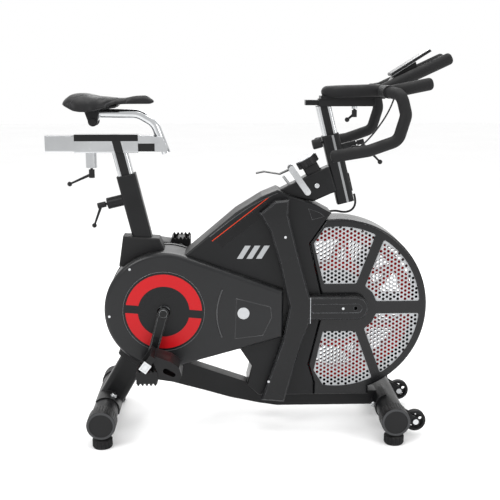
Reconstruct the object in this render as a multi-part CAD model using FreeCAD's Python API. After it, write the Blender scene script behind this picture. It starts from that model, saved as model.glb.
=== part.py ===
import FreeCAD, Part
import math
import os

from FreeCAD import Vector

os.makedirs("parts", exist_ok=True)

# Air bike with magnetic brake. Millimetres, +X to the front (handlebar), +Z up, floor at Z = 0,
# origin under the middle of the bike. The right-hand side, with the belt drive, is -Y.

# ---- Overall sizes ---------------------------------------------------------------------------
STAND_HALF_BASE = 455.0       # centre plane to each stabiliser axis, along X
STAND_AXIS_Z = 78.0           # height of both stabiliser tubes
STAND_HALF_LENGTH = 214.0     # stabiliser tube, half its length
STAND_RADIUS = 40.0
STAND_WALL = 2.5
CAP_RADIUS = 45.0             # ribbed plastic sleeve over each tube end
CAP_LENGTH = 56.0
CAP_FACE = 4.0
SADDLE_RADIUS = 44.0          # steel saddle wrapped round the tube
SADDLE_HALF_WIDTH = 90.0
FOOT_RADIUS = 31.0
FOOT_HEIGHT = 26.0
FOOT_Y = 188.0
FOOT_STEM_RADIUS = 5.0

# ---- Crank and belt drive --------------------------------------------------------------------
CRANK_X, CRANK_Z = -264.0, 404.0
CRANK_LENGTH = 170.0
CRANK_LEAN = 15.8             # degrees behind straight down, right-hand arm
CRANK_ARM_Y = 98.0            # inner face of the arms
CRANK_ARM_THICK = 16.0
AXLE_RADIUS = 9.95
BEARING_BORE = 10.0
CRANK_SHELL_RADIUS = 26.0
CRANK_SHELL_HALF = 34.0
BEARING_OUTER = 21.0
BEARING_WIDTH = 12.0
DRIVE_PULLEY_RADIUS = 105.0
FAN_PULLEY_RADIUS = 24.0
BELT_Y_LOW, BELT_Y_HIGH = -51.0, -39.0
BELT_THICK = 3.0
BELT_GAP = 0.3

# ---- Fan -------------------------------------------------------------------------------------
FAN_X, FAN_Z = 286.0, 404.0
FAN_RADIUS = 248.0
FAN_RING = 33.0
FAN_HALF_WIDTH = 24.0
FAN_DISC_RADIUS = 118.0
FAN_INNER_RING = 24.0
FAN_BLADES = 7
FAN_BLADE_START = 84.0        # degrees
FAN_AXLE_RADIUS = 9.95

# ---- Plastic covers --------------------------------------------------------------------------
WALL = 3.0
CENTRE_GAP = 0.2              # half the seam between the right and left shells
BODY_HALF = 60.0              # outer face of body and cage shells
COVER_HALF = 88.0             # outer face of the belt covers
PILLAR_HALF = 93.0            # outer face of the pillar covers
LAYER_GAP = 0.3
DRUM_RADIUS = 187.0
CAGE_RADIUS = 286.0
WINDOW_RADIUS = 263.0
GRILLE_THICK = 1.5
GRILLE_PITCH = 13.5
GRILLE_HOLE = 8.8             # across flats
DISC_RADIUS = 128.0
RING_OUTER, RING_INNER = 120.0, 81.0
RING_GAP_HALF = 13.0
RING_TILT = -5.0

# ---- Frame tubes -----------------------------------------------------------------------------
RAIL_HALF = 25.0
RAIL_TOP = 110.0
LEG_DEPTH, LEG_WIDTH = 82.0, 60.0
SEAT_ANGLE = 13.4             # degrees behind vertical
SEAT_TUBE_FOOT = (-278.0, 404.0)
SEAT_TUBE_LENGTH = 430.0
SEAT_TUBE_DEPTH, SEAT_TUBE_WIDTH = 60.0, 48.0
SEAT_POST_DEPTH, SEAT_POST_WIDTH = 48.0, 36.0
TUBE_WALL = 2.5
POST_WALL = 2.0
POST_FIT = 0.1                # running clearance of a post in its bush, each side
SPINE_DEPTH, SPINE_WIDTH = 60.0, 50.0
HEAD_ANGLE = 14.1
HEAD_TOP = (259.0, 946.0)
HEAD_LENGTH = 217.0
HEAD_DEPTH, HEAD_WIDTH = 54.0, 44.0
BAR_POST_DEPTH, BAR_POST_WIDTH = 46.0, 34.0
NECK_HALF = 28.0

# ---- Seat ------------------------------------------------------------------------------------
RAIL_REAR, RAIL_FRONT = -623.0, -287.0
SEAT_RAIL_Z = 923.0
SEAT_RAIL_HEIGHT, SEAT_RAIL_WIDTH = 50.0, 40.0
SLEEVE_REAR, SLEEVE_FRONT = -533.0, -337.0
SLIDE_FIT = 0.2
SLEEVE_WALL = 3.2
NECK_TUBE_RADIUS = 14.0
SADDLE_PIVOT = (-473.0, 991.0)
SADDLE_HALF_BREADTH = 105.0

# ---- Handlebar -------------------------------------------------------------------------------
BAR_RADIUS = 17.5
HORN_RADIUS = 19.0
BAR_HALF_SPAN = 228.0
SLIDER_Z = 1036.0
BAR_SLEEVE_REAR, BAR_SLEEVE_FRONT = 221.0, 388.0
BAR_RAIL_REAR, BAR_RAIL_FRONT = 180.0, 396.0
BAR_RAIL_HEIGHT, BAR_RAIL_WIDTH = 16.0, 40.0

# ---- Small parts -----------------------------------------------------------------------------
PIN_FIT = 0.06
WHEEL_RADIUS = 34.0
WHEEL_HALF = 11.0
WHEEL_X, WHEEL_Y, WHEEL_Z = 531.0, 134.0, 52.0
RIGHT, LEFT = -1.0, 1.0


# ---- Helpers ---------------------------------------------------------------------------------
SUB_PARTS = {}


def add(name, *solids):
    """Put solids into a named sub-part; pieces of one sub-part stay separate solids."""
    for solid in solids:
        SUB_PARTS.setdefault(name, []).extend(solid.Solids)


def write_sub_parts():
    for name, pieces in SUB_PARTS.items():
        shape = pieces[0] if len(pieces) == 1 else Part.Compound(pieces)
        shape.exportStep("parts/" + name + ".step")
        state = "valid" if shape.isValid() else "NOT VALID"
        print(name, len(pieces), state, round(shape.Volume / 1000, 1), "cm3")


def block(low, high):
    size = [high[i] - low[i] for i in range(3)]
    return Part.makeBox(size[0], size[1], size[2], Vector(*low))


def rod(start, direction, radius, length):
    return Part.makeCylinder(radius, length, Vector(*start), Vector(*direction))


def disc(centre, radius, y_low, y_high):
    """Cylinder along Y round a point (x, z)."""
    return rod((centre[0], y_low, centre[1]), (0, 1, 0), radius, y_high - y_low)


def prism(points, y_low, y_high, inset=0.0):
    """Outline of (x, z) points drawn along Y, its sides moved in by inset (or out, if negative)."""
    corners = [Vector(x, y_low, z) for x, z in points]
    face = Part.Face(Part.makePolygon(corners + corners[:1]))
    if inset:
        face = face.makeOffset2D(-inset, 2)
    return face.extrude(Vector(0, y_high - y_low, 0))


def tangent_point(centre, radius, point, side):
    """Where the line from a point (x, z) touches a circle, above (+1) or below (-1) it."""
    run_x, run_z = point[0] - centre[0], point[1] - centre[1]
    angle = math.atan2(run_z, run_x) + side * math.acos(radius / math.hypot(run_x, run_z))
    return (centre[0] + radius * math.cos(angle), centre[1] + radius * math.sin(angle))


def meeting_point(centre, radius, start, end):
    """Where the line from end through start first meets a circle beyond start."""
    length = math.hypot(start[0] - end[0], start[1] - end[1])
    ux, uz = (start[0] - end[0]) / length, (start[1] - end[1]) / length
    dx, dz = start[0] - centre[0], start[1] - centre[1]
    half = dx * ux + dz * uz
    travel = -half - math.sqrt(half * half - (dx * dx + dz * dz - radius * radius))
    return (start[0] + ux * travel, start[1] + uz * travel)


def drum_prism(radius, points, y_low, y_high, inset=0.0, straight_top=False):
    """Outline with a round drum at the crank; the points run from its top round to its bottom."""
    top = tangent_point(CRANK, radius, points[0], 1)
    if straight_top:
        top = meeting_point(CRANK, radius, points[0], points[1])
    low = tangent_point(CRANK, radius, points[-1], -1)
    corners = [Vector(x, y_low, z) for x, z in [top] + points + [low]]
    arc = Part.Arc(corners[-1], Vector(CRANK_X - radius, y_low, CRANK_Z), corners[0]).toShape()
    sides = [Part.LineSegment(a, b).toShape() for a, b in zip(corners, corners[1:])]
    face = Part.Face(Part.Wire(sides + [arc]))
    if inset:
        face = face.makeOffset2D(-inset, 2)
    return face.extrude(Vector(0, y_high - y_low, 0))


def mirrored(solid):
    return solid.mirror(Vector(0, 0, 0), Vector(0, 1, 0))


def on_side(solid, side):
    """A solid is drawn on the right (-Y); the left one is its mirror image."""
    return solid if side == RIGHT else mirrored(solid)


def both_sides(solid):
    return [solid, mirrored(solid)]


def cut_all(solid, tools):
    for tool in tools:
        solid = solid.cut(tool)
    return solid


def joined(solids):
    result = solids[0]
    for solid in solids[1:]:
        result = result.fuse(solid)
    return result.removeSplitter()


def edges_on_plane(solid, y):
    """Edges that lie wholly in the plane Y = y."""
    return [e for e in solid.Edges if abs(e.BoundBox.YMin - y) < 0.01 and abs(e.BoundBox.YMax - y) < 0.01]


def edges_along_y(solid, length):
    return [e for e in solid.Edges if e.BoundBox.XLength < 0.01 and e.BoundBox.ZLength < 0.01
            and e.BoundBox.YLength > 0.9 * length]


def section_bar(depth, width, length, radius):
    """Rounded rectangular bar along +Z from the origin: depth in X, width in Y."""
    bar = Part.makeBox(depth, width, length, Vector(-depth / 2, -width / 2, 0))
    upright = [e for e in bar.Edges if e.BoundBox.ZLength > 0.9 * length]
    return bar.makeFillet(radius, upright)


def aim(solid, start, direction):
    """Turn a solid built along +Z to run from start along direction (both x, z)."""
    turn = FreeCAD.Rotation(Vector(0, 0, 1), Vector(direction[0], 0, direction[1]))
    placed = solid.copy()
    placed.Placement = FreeCAD.Placement(Vector(start[0], 0, start[1]), turn)
    return placed


def lean(degrees):
    """Unit direction (x, z) that leans back from straight up."""
    return (-math.sin(math.radians(degrees)), math.cos(math.radians(degrees)))


def along(start, direction, distance, across=0.0):
    """Point (x, z) at a distance along a direction, and across it towards the front."""
    return (start[0] + direction[0] * distance + direction[1] * across,
            start[1] + direction[1] * distance - direction[0] * across)


def rounded_path(points, bend):
    """Wire of straight runs joined by tangent arcs of one radius."""
    corners = [Vector(*p) for p in points]
    edges = []
    last = corners[0]
    for before, corner, after in zip(corners, corners[1:], corners[2:]):
        back = (before - corner).normalize()
        ahead = (after - corner).normalize()
        turn = math.pi - back.getAngle(ahead)
        reach = bend * math.tan(turn / 2)
        start, end = corner + back * reach, corner + ahead * reach
        bisector = (back + ahead).normalize()
        middle = corner + bisector * (bend / math.cos(turn / 2) - bend)
        if (start - last).Length > 0.001:
            edges.append(Part.LineSegment(last, start).toShape())
        edges.append(Part.Arc(start, middle, end).toShape())
        last = end
    edges.append(Part.LineSegment(last, corners[-1]).toShape())
    return Part.Wire(edges)


def swept(path, radius):
    """Round bar swept along a wire."""
    start = path.Edges[0].Vertexes[0].Point
    heading = path.Edges[0].tangentAt(path.Edges[0].FirstParameter)
    ring = Part.Wire([Part.makeCircle(radius, start, heading)])
    return path.makePipeShell([ring], True, False)


def round_ends(bar, radius, points):
    """Round the end faces of a bar that lie at the given points."""
    rims = []
    for edge in bar.Edges:
        for point in points:
            if edge.Closed and (edge.CenterOfMass - Vector(*point)).Length < 0.5:
                rims.append(edge)
    return bar.makeFillet(radius, rims)


def link(start, end, start_radius, end_radius, y_low, y_high):
    """Flat bar with two round ends, drawn along Y between two points (x, z)."""
    run_x, run_z = end[0] - start[0], end[1] - start[1]
    length = math.hypot(run_x, run_z)
    tilt = math.acos((start_radius - end_radius) / length)
    heading = math.atan2(run_z, run_x)
    corners = []
    for centre, radius, side in ((start, start_radius, 1), (end, end_radius, 1),
                                 (end, end_radius, -1), (start, start_radius, -1)):
        angle = heading + side * tilt
        corners.append((centre[0] + radius * math.cos(angle), centre[1] + radius * math.sin(angle)))
    return joined([prism(corners, y_low, y_high), disc(start, start_radius, y_low, y_high),
                   disc(end, end_radius, y_low, y_high)])


def clamp_lever(seat, axis, tip, hub_radius, hub_length, stem_length):
    """Clamping lever: a hub below its seat, a stem up into the boss, an arm and a ball knob."""
    stem_radius, ball_radius = 4.0, 7.5
    start = Vector(*seat)
    into = Vector(*axis).normalize()
    root = start - into * (hub_length * 0.55)
    end = Vector(*tip)
    arm_length = (end - root).Length
    hub = Part.makeCylinder(hub_radius, hub_length, start, into * -1)
    stem = Part.makeCylinder(stem_radius, stem_length, start, into)
    arm = Part.makeCone(4.6, 3.0, arm_length, root, end - root)
    ball = Part.makeSphere(ball_radius, end)
    return joined([hub, stem, arm, ball])


# ---- Shared directions and places ------------------------------------------------------------
CRANK = (CRANK_X, CRANK_Z)
FAN = (FAN_X, FAN_Z)
SEAT_UP = lean(SEAT_ANGLE)
HEAD_UP = lean(HEAD_ANGLE)
HEAD_FOOT = along(HEAD_TOP, HEAD_UP, -HEAD_LENGTH)
REAR_STAND = (-STAND_HALF_BASE, STAND_AXIS_Z)
FRONT_STAND = (STAND_HALF_BASE, STAND_AXIS_Z)
LEG_RISE = math.hypot(CRANK_X - REAR_STAND[0], CRANK_Z - REAR_STAND[1])
LEG_UP = ((CRANK_X - REAR_STAND[0]) / LEG_RISE, (CRANK_Z - REAR_STAND[1]) / LEG_RISE)
SPINE_START, SPINE_END = (-262.0, 478.0), (62.0, 729.6)
SPINE_LENGTH = math.hypot(SPINE_END[0] - SPINE_START[0], SPINE_END[1] - SPINE_START[1])
SPINE_UP = ((SPINE_END[0] - SPINE_START[0]) / SPINE_LENGTH, (SPINE_END[1] - SPINE_START[1]) / SPINE_LENGTH)
SEAT_TUBE_TOP = along(SEAT_TUBE_FOOT, SEAT_UP, SEAT_TUBE_LENGTH)
CROSS_RADIUS = 17.0
CROSS_LOW = (88.0, RAIL_TOP + CROSS_RADIUS)
CROSS_HIGH = (88.0, 690.0)
CROSS_HALF = 62.0
KNOB_AXIS = (-0.5, 0.866)
KNOB_BASE = (220.0, 812.0)


def seat_tube_outer(grow=0.0):
    bar = section_bar(SEAT_TUBE_DEPTH + 2 * grow, SEAT_TUBE_WIDTH + 2 * grow, SEAT_TUBE_LENGTH - 20, 10 + grow)
    return aim(bar, along(SEAT_TUBE_FOOT, SEAT_UP, 20), SEAT_UP)


def leg_outer(grow=0.0):
    bar = section_bar(LEG_DEPTH + 2 * grow, LEG_WIDTH + 2 * grow, LEG_RISE - 24, 18 + grow)
    return aim(bar, REAR_STAND, LEG_UP)


def spine_outer(grow=0.0):
    bar = section_bar(SPINE_DEPTH + 2 * grow, SPINE_WIDTH + 2 * grow, SPINE_LENGTH, 8 + grow)
    return aim(bar, SPINE_START, SPINE_UP)


def head_outer(grow=0.0):
    bar = section_bar(HEAD_DEPTH + 2 * grow, HEAD_WIDTH + 2 * grow, HEAD_LENGTH, 9 + grow)
    return aim(bar, HEAD_FOOT, HEAD_UP)


RAIL_OUTLINE = [(-372, 275), (-206, 217), (-5, 146), (35, RAIL_TOP), (440, RAIL_TOP), (440, 63),
                (98, 63), (41, 72), (-56, 93), (-139, 118), (-288, 160), (-372, 184)]
NECK_OUTLINE = [(66, 722), (84, 770), (150, 802), (190, 824), (256, 852), (282, 772),
                (262, 765), (208, 741), (131, 757), (108, 700)]


def rail_outer(grow=0.0):
    return prism(RAIL_OUTLINE, -RAIL_HALF - grow, RAIL_HALF + grow, -grow)


def neck_outer(grow=0.0):
    return prism(NECK_OUTLINE, -NECK_HALF - grow, NECK_HALF + grow, -grow)


def crank_shell_outer(grow=0.0):
    return disc(CRANK, CRANK_SHELL_RADIUS + grow, -CRANK_SHELL_HALF - grow, CRANK_SHELL_HALF + grow)


# ---- Frame -----------------------------------------------------------------------------------
def make_frame():
    leg_inner = aim(section_bar(LEG_DEPTH - 6, LEG_WIDTH - 6, LEG_RISE, 15), REAR_STAND, LEG_UP)
    saddle_rear = disc(REAR_STAND, SADDLE_RADIUS, -200, 200)
    leg = cut_all(leg_outer(), [leg_inner, saddle_rear, crank_shell_outer()])
    add("rear_leg", joined([leg, bored_saddle(REAR_STAND, LEG_UP)]))

    rail_inner = prism(RAIL_OUTLINE, -RAIL_HALF + WALL, RAIL_HALF - WALL, WALL)
    open_ends = [block((-372, -22, 190), (-340, 22, 262)), block((400, -22, 66), (441, 22, 107))]
    rail = cut_all(rail_outer(), [rail_inner] + open_ends + [leg_outer(), disc(FRONT_STAND, SADDLE_RADIUS, -200, 200)])
    add("bottom_rail", joined([rail, bored_saddle(FRONT_STAND, (-1.0, 0.0))]))

    tube_bore = aim(section_bar(SEAT_TUBE_DEPTH - 2 * TUBE_WALL, SEAT_TUBE_WIDTH - 2 * TUBE_WALL,
                                SEAT_TUBE_LENGTH + 40, 7.5), SEAT_TUBE_FOOT, SEAT_UP)
    tube = joined([seat_tube_outer(), pointing(SEAT_PIN_BASE, SEAT_BACK, 18.0, PIN_BOSS_LENGTH + 2, -2)])
    pin_hole = pointing(SEAT_PIN_BASE, SEAT_BACK, 4.0 + PIN_FIT, PIN_BOSS_LENGTH + 20, -10)
    add("seat_tube", cut_all(tube, [tube_bore, crank_shell_outer(), pin_hole]))

    spine_bore = aim(section_bar(SPINE_DEPTH - 2 * TUBE_WALL, SPINE_WIDTH - 2 * TUBE_WALL,
                                 SPINE_LENGTH + 80, 5.5), along(SPINE_START, SPINE_UP, -40), SPINE_UP)
    spine = cut_all(spine_outer(), [spine_bore, seat_tube_outer(), disc(CROSS_HIGH, CROSS_RADIUS, -80, 80)])
    add("spine_tube", max(spine.Solids, key=lambda s: s.Volume))

    neck = neck_outer()
    neck = neck.makeFillet(6, edges_on_plane(neck, -NECK_HALF) + edges_on_plane(neck, NECK_HALF))
    neck_hollow = prism(NECK_OUTLINE, -NECK_HALF + 4, NECK_HALF - 4, 4)
    neck = cut_all(neck, [knob_bore(), neck_hollow, spine_outer(), head_outer(), disc(CROSS_HIGH, CROSS_RADIUS, -80, 80)])
    add("neck_gusset", max(neck.Solids, key=lambda s: s.Volume))

    tube = joined([head_outer(), pointing(BAR_BOSS_BASE, HEAD_FRONT, 10.0, BAR_BOSS_LENGTH + 2, -2)])
    head_bore = aim(section_bar(HEAD_DEPTH - 2 * TUBE_WALL, HEAD_WIDTH - 2 * TUBE_WALL, HEAD_LENGTH + 20, 6.5),
                    along(HEAD_FOOT, HEAD_UP, -10), HEAD_UP)
    add("head_tube", cut_all(tube, [head_bore, bar_pin_hole(), bar_boss_hole()]))

    shell = crank_shell_outer().cut(disc(CRANK, BEARING_OUTER, -60, 60))
    lip = disc(CRANK, BEARING_OUTER, -CRANK_SHELL_HALF + BEARING_WIDTH, CRANK_SHELL_HALF - BEARING_WIDTH)
    lip = lip.cut(disc(CRANK, 16, -60, 60))
    add("crank_shell", joined([shell, lip]))
    ring = disc(CRANK, BEARING_OUTER, -CRANK_SHELL_HALF, -CRANK_SHELL_HALF + BEARING_WIDTH)
    ring = ring.cut(disc(CRANK, BEARING_BORE, -60, 60))
    add("crank_shell", *both_sides(ring))

    cross = []
    for centre in (CROSS_LOW, CROSS_HIGH):
        tube = disc(centre, CROSS_RADIUS, -CROSS_HALF, CROSS_HALF)
        cross.append(tube.cut(disc(centre, CROSS_RADIUS - 3, -80, 80)))
    add("fan_fork", *cross)


def post_bush(outer_depth, outer_width, bore_depth, bore_width, top, up, name, pin_tools):
    """Plastic bush in the mouth of a tube, with a thin rim over the tube's end."""
    length, rim = 70.0, 3.0
    body = aim(section_bar(outer_depth, outer_width, length, 8), along(top, up, -length), up)
    collar = aim(section_bar(outer_depth + 2 * TUBE_WALL, outer_width + 2 * TUBE_WALL, rim, 9), top, up)
    bore = aim(section_bar(bore_depth + 2 * POST_FIT, bore_width + 2 * POST_FIT, length + 40, 8 + POST_FIT),
               along(top, up, -length - 20), up)
    add(name, cut_all(joined([body, collar]), [bore] + pin_tools))


# ---- Stabilisers -----------------------------------------------------------------------------
def stand_bolt_places(centre, toward):
    places = []
    for y in (-62.0, 62.0):
        places.append((centre[0] + toward[0] * 30, y, centre[1] + toward[1] * 30))
    return places


def half_saddle(centre, toward):
    """Half ring of plate round the tube, on the side that faces the frame."""
    ring = disc(centre, SADDLE_RADIUS, -SADDLE_HALF_WIDTH, SADDLE_HALF_WIDTH)
    ring = ring.cut(disc(centre, STAND_RADIUS, -SADDLE_HALF_WIDTH - 1, SADDLE_HALF_WIDTH + 1))
    side = (toward[1], -toward[0])
    near, far = 8.0, 60.0
    keep = [(centre[0] + side[0] * a + toward[0] * b, centre[1] + side[1] * a + toward[1] * b)
            for a, b in ((-far, near), (far, near), (far, far), (-far, far))]
    return ring.common(prism(keep, -SADDLE_HALF_WIDTH, SADDLE_HALF_WIDTH))


def bored_saddle(centre, toward):
    direction = (toward[0], 0, toward[1])
    shafts = [rod(p, direction, 5.0, 40) for p in stand_bolt_places(centre, toward)]
    return cut_all(half_saddle(centre, toward), shafts)


def make_stands():
    bolts = []
    caps = []
    for name, centre, toward in (("rear", REAR_STAND, LEG_UP), ("front", FRONT_STAND, (-1.0, 0.0))):
        tube = disc(centre, STAND_RADIUS, -STAND_HALF_LENGTH, STAND_HALF_LENGTH)
        tube = tube.cut(disc(centre, STAND_RADIUS - STAND_WALL, -STAND_HALF_LENGTH - 1, STAND_HALF_LENGTH + 1))
        direction = (toward[0], 0, toward[1])
        shafts = [rod(p, direction, 5.0, 40) for p in stand_bolt_places(centre, toward)]
        stems = [rod((centre[0], y, 0), (0, 0, 1), FOOT_STEM_RADIUS + PIN_FIT, 70) for y in (-FOOT_Y, FOOT_Y)]
        add(name + "_stabiliser", cut_all(tube, shafts + stems))
        for place in stand_bolt_places(centre, toward):
            start = Vector(*place)
            push = Vector(*direction)
            shaft = Part.makeCylinder(5.0, 16, start, push)
            washer = Part.makeCylinder(11.0, 2.5, start + push * 13.6, push)
            head = Part.makeCylinder(8.5, 7.0, start + push * 15.6, push)
            head = head.makeFillet(3.5, [e for e in head.Edges if e.Closed and e.CenterOfMass.distanceToPoint(
                start + push * 22.6) < 0.1])
            bolts.append(joined([shaft, washer, head]).cut(disc(centre, SADDLE_RADIUS, -90, 90).cut(
                disc(centre, STAND_RADIUS - 20, -91, 91)).cut(joined([shaft, washer.cut(
                    disc(centre, SADDLE_RADIUS, -90, 90))]))))
        sleeve = disc(centre, CAP_RADIUS, -STAND_HALF_LENGTH - CAP_FACE, -STAND_HALF_LENGTH - CAP_FACE + CAP_LENGTH)
        sleeve = sleeve.makeFillet(4, edges_on_plane(sleeve, -STAND_HALF_LENGTH - CAP_FACE))
        dish = disc(centre, CAP_RADIUS - 8, -STAND_HALF_LENGTH - CAP_FACE - 1, -STAND_HALF_LENGTH - CAP_FACE + 1.5)
        tools = [disc(centre, STAND_RADIUS, -STAND_HALF_LENGTH, 0), dish] + stems
        ribs = 30
        for i in range(ribs):
            angle = 2 * math.pi * i / ribs
            spot = (centre[0] + (CAP_RADIUS + 0.6) * math.cos(angle), centre[1] + (CAP_RADIUS + 0.6) * math.sin(angle))
            tools.append(disc(spot, 2.0, -STAND_HALF_LENGTH + 6, 0))
        caps.extend(both_sides(cut_all(sleeve, tools)))
    add("fasteners", *bolts)
    add("stabiliser_end_caps", *caps)


def make_feet():
    for end, x in (("rear", -STAND_HALF_BASE), ("front", STAND_HALF_BASE)):
        for hand, y in (("right", -FOOT_Y), ("left", FOOT_Y)):
            wheel = rod((x, y, 4), (0, 0, 1), FOOT_RADIUS, FOOT_HEIGHT - 4)
            flutes = 16
            for i in range(flutes):
                angle = 2 * math.pi * i / flutes
                wheel = wheel.cut(rod((x + (FOOT_RADIUS + 2) * math.cos(angle), y + (FOOT_RADIUS + 2) * math.sin(angle), 0),
                                      (0, 0, 1), 4.0, 40))
            pad = rod((x, y, 0), (0, 0, 1), FOOT_RADIUS - 3, 4)
            stem = rod((x, y, FOOT_HEIGHT - 1), (0, 0, 1), FOOT_STEM_RADIUS, 40)
            add("foot_" + end + "_" + hand, joined([wheel, pad, stem]))


def make_wheels():
    hub = (WHEEL_X, WHEEL_Z)
    plate_thick, side_gap = 3.5, 1.0
    inner = WHEEL_Y - WHEEL_HALF - side_gap
    outer = WHEEL_Y + WHEEL_HALF + side_gap
    plates = []
    for y_low in (-outer - plate_thick, -inner):
        arm = link((STAND_HALF_BASE + 14, STAND_AXIS_Z - 2), hub, 24.0, 13.0, y_low, y_low + plate_thick)
        arm = cut_all(arm, [disc(FRONT_STAND, STAND_RADIUS, -200, 200), disc(hub, 5.0, -200, 200)])
        plates.extend(both_sides(arm))
    add("wheel_brackets", *plates)
    bolt = disc(hub, 5.0, -outer - plate_thick, -inner + plate_thick)
    heads = [disc(hub, 9.0, -outer - plate_thick - 5, -outer - plate_thick),
             disc(hub, 9.0, -inner + plate_thick, -inner + plate_thick + 5)]
    add("fixed_pins", *both_sides(joined([bolt] + heads)))
    for hand, side in (("right", RIGHT), ("left", LEFT)):
        tyre = disc(hub, WHEEL_RADIUS, -WHEEL_Y - WHEEL_HALF, -WHEEL_Y + WHEEL_HALF)
        tyre = tyre.makeFillet(4, edges_on_plane(tyre, -WHEEL_Y - WHEEL_HALF) + edges_on_plane(tyre, -WHEEL_Y + WHEEL_HALF))
        tools = [disc(hub, 5.0 + PIN_FIT, -200, 200)]
        for y_low, y_high in ((-WHEEL_Y - WHEEL_HALF - 1, -WHEEL_Y - 3), (-WHEEL_Y + 3, -WHEEL_Y + WHEEL_HALF + 1)):
            tools.append(disc(hub, 25, y_low, y_high).cut(disc(hub, 11, y_low, y_high)))
        for i in range(5):
            angle = math.radians(72 * i + 20)
            tools.append(disc((WHEEL_X + 18 * math.cos(angle), WHEEL_Z + 18 * math.sin(angle)), 5.5, -200, 0))
        add("transport_wheel_" + hand, on_side(cut_all(tyre, tools), side))


# ---- Crank, pedals and belt ------------------------------------------------------------------
CRANK_DOWN = (-math.sin(math.radians(CRANK_LEAN)), -math.cos(math.radians(CRANK_LEAN)))
PEDAL_RIGHT = (CRANK_X + CRANK_LENGTH * CRANK_DOWN[0], CRANK_Z + CRANK_LENGTH * CRANK_DOWN[1])
PEDAL_LEFT = (CRANK_X - CRANK_LENGTH * CRANK_DOWN[0], CRANK_Z - CRANK_LENGTH * CRANK_DOWN[1])
SPINDLE_RADIUS = 6.0
PEDAL_IN, PEDAL_OUT = 132.0, 222.0


def make_crank():
    arm_out = CRANK_ARM_Y + CRANK_ARM_THICK
    axle = disc(CRANK, AXLE_RADIUS, -CRANK_ARM_Y - 6, CRANK_ARM_Y + 6)
    add("crank_axle", axle)
    for hand, side, end in (("right", RIGHT, PEDAL_RIGHT), ("left", LEFT, PEDAL_LEFT)):
        arm = link(CRANK, end, 17.0, 14.0, -arm_out, -CRANK_ARM_Y)
        arm = arm.makeChamfer(4.0, edges_on_plane(arm, -arm_out))
        boss = disc(CRANK, 17.0, -CRANK_ARM_Y, -CRANK_ARM_Y + 6)
        cap = disc(CRANK, 12.5, -arm_out - 1.5, -arm_out)
        arm = joined([arm, boss, cap])
        arm = cut_all(arm, [disc(CRANK, AXLE_RADIUS, -CRANK_ARM_Y - 6, 0), disc(end, SPINDLE_RADIUS, -200, 0)])
        add("crank_arms", on_side(arm, side))
        spindle = disc(end, SPINDLE_RADIUS, -PEDAL_OUT + 8, -CRANK_ARM_Y - 1)
        flange = disc(end, 9.0, -PEDAL_IN + 4, -arm_out)
        add("crank_arms", on_side(joined([spindle, flange]), side))
    pulley = disc(CRANK, DRIVE_PULLEY_RADIUS, BELT_Y_LOW, BELT_Y_HIGH)
    flanges = [disc(CRANK, DRIVE_PULLEY_RADIUS + 4, BELT_Y_LOW - 2, BELT_Y_LOW - BELT_GAP),
               disc(CRANK, DRIVE_PULLEY_RADIUS + 4, BELT_Y_HIGH + BELT_GAP, BELT_Y_HIGH + 2)]
    flanges = [f.fuse(disc(CRANK, DRIVE_PULLEY_RADIUS, BELT_Y_LOW - 2, BELT_Y_HIGH + 2)) for f in flanges]
    web = [disc(CRANK, DRIVE_PULLEY_RADIUS - 12, BELT_Y_LOW - 3, BELT_Y_LOW + 4),
           disc(CRANK, DRIVE_PULLEY_RADIUS - 12, BELT_Y_HIGH - 4, BELT_Y_HIGH + 3)]
    pulley = cut_all(joined([pulley] + flanges), web)
    hub = disc(CRANK, 20.0, BELT_Y_LOW - 2, BELT_Y_HIGH + 2)
    lightening = [disc((CRANK_X + 58 * math.cos(a), CRANK_Z + 58 * math.sin(a)), 20, -100, 0)
                  for a in (math.pi * i / 3 for i in range(6))]
    pulley = cut_all(joined([pulley, hub]), lightening + [disc(CRANK, AXLE_RADIUS, -100, 100)])
    add("crank_axle", pulley)


def make_pedals():
    """Pedals with toe cages and straps; the left one hangs the other way up."""
    make_pedal("right", PEDAL_RIGHT, False)
    make_pedal("left", PEDAL_LEFT, True)


def make_pedal(hand, axis, turned):
    px, pz = axis
    cage = toe_cage(px, pz)
    strap = pedal_strap(px, pz).cut(cage)
    strap = max(strap.Solids, key=lambda solid: solid.Volume)
    place = [pedal_body(px, pz), cage, strap, strap_buckle(px, pz)]
    if turned:
        place = [mirrored(solid) for solid in place]
        for solid in place:
            solid.rotate(Vector(px, 0, pz), Vector(0, 1, 0), 180)
    add("pedal_" + hand, place[0])
    add("toe_cage_" + hand, *place[1:])


PEDAL_HALF_LENGTH = 32.0
PEDAL_LOW, PEDAL_TOP = -25.0, 10.0
PEDAL_PLATE = 6.0


def pedal_body(px, pz):
    low, top = pz + PEDAL_LOW, pz + PEDAL_TOP
    rear, front = px - PEDAL_HALF_LENGTH, px + PEDAL_HALF_LENGTH
    frame = block((rear, -PEDAL_OUT, low), (front, -PEDAL_IN, top))
    hollow = [block((rear + 6, -PEDAL_OUT + PEDAL_PLATE, low - 9), (px - 12, -PEDAL_IN - PEDAL_PLATE, top + 9)),
              block((px + 12, -PEDAL_OUT + PEDAL_PLATE, low - 9), (front - 6, -PEDAL_IN - PEDAL_PLATE, top + 9))]
    teeth = []
    count = 5
    pitch = 2 * PEDAL_HALF_LENGTH / count
    for y_low in (-PEDAL_OUT, -PEDAL_IN - PEDAL_PLATE):
        for i in range(count):
            left = rear + pitch * i
            for edge, tip in ((low + 1, low - 6), (top - 1, top + 4)):
                teeth.append(prism([(left + 1, edge), (left + pitch - 1, edge), (left + pitch * 0.65, tip),
                                    (left + pitch * 0.35, tip)], y_low, y_low + PEDAL_PLATE))
    bore = disc((px, pz), SPINDLE_RADIUS + PIN_FIT, -PEDAL_OUT + 7, 0)
    mouth = disc((px, pz), 9.5, -PEDAL_IN - 0.5, 0)
    return cut_all(joined([frame] + teeth), hollow + [bore, mouth])


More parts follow.
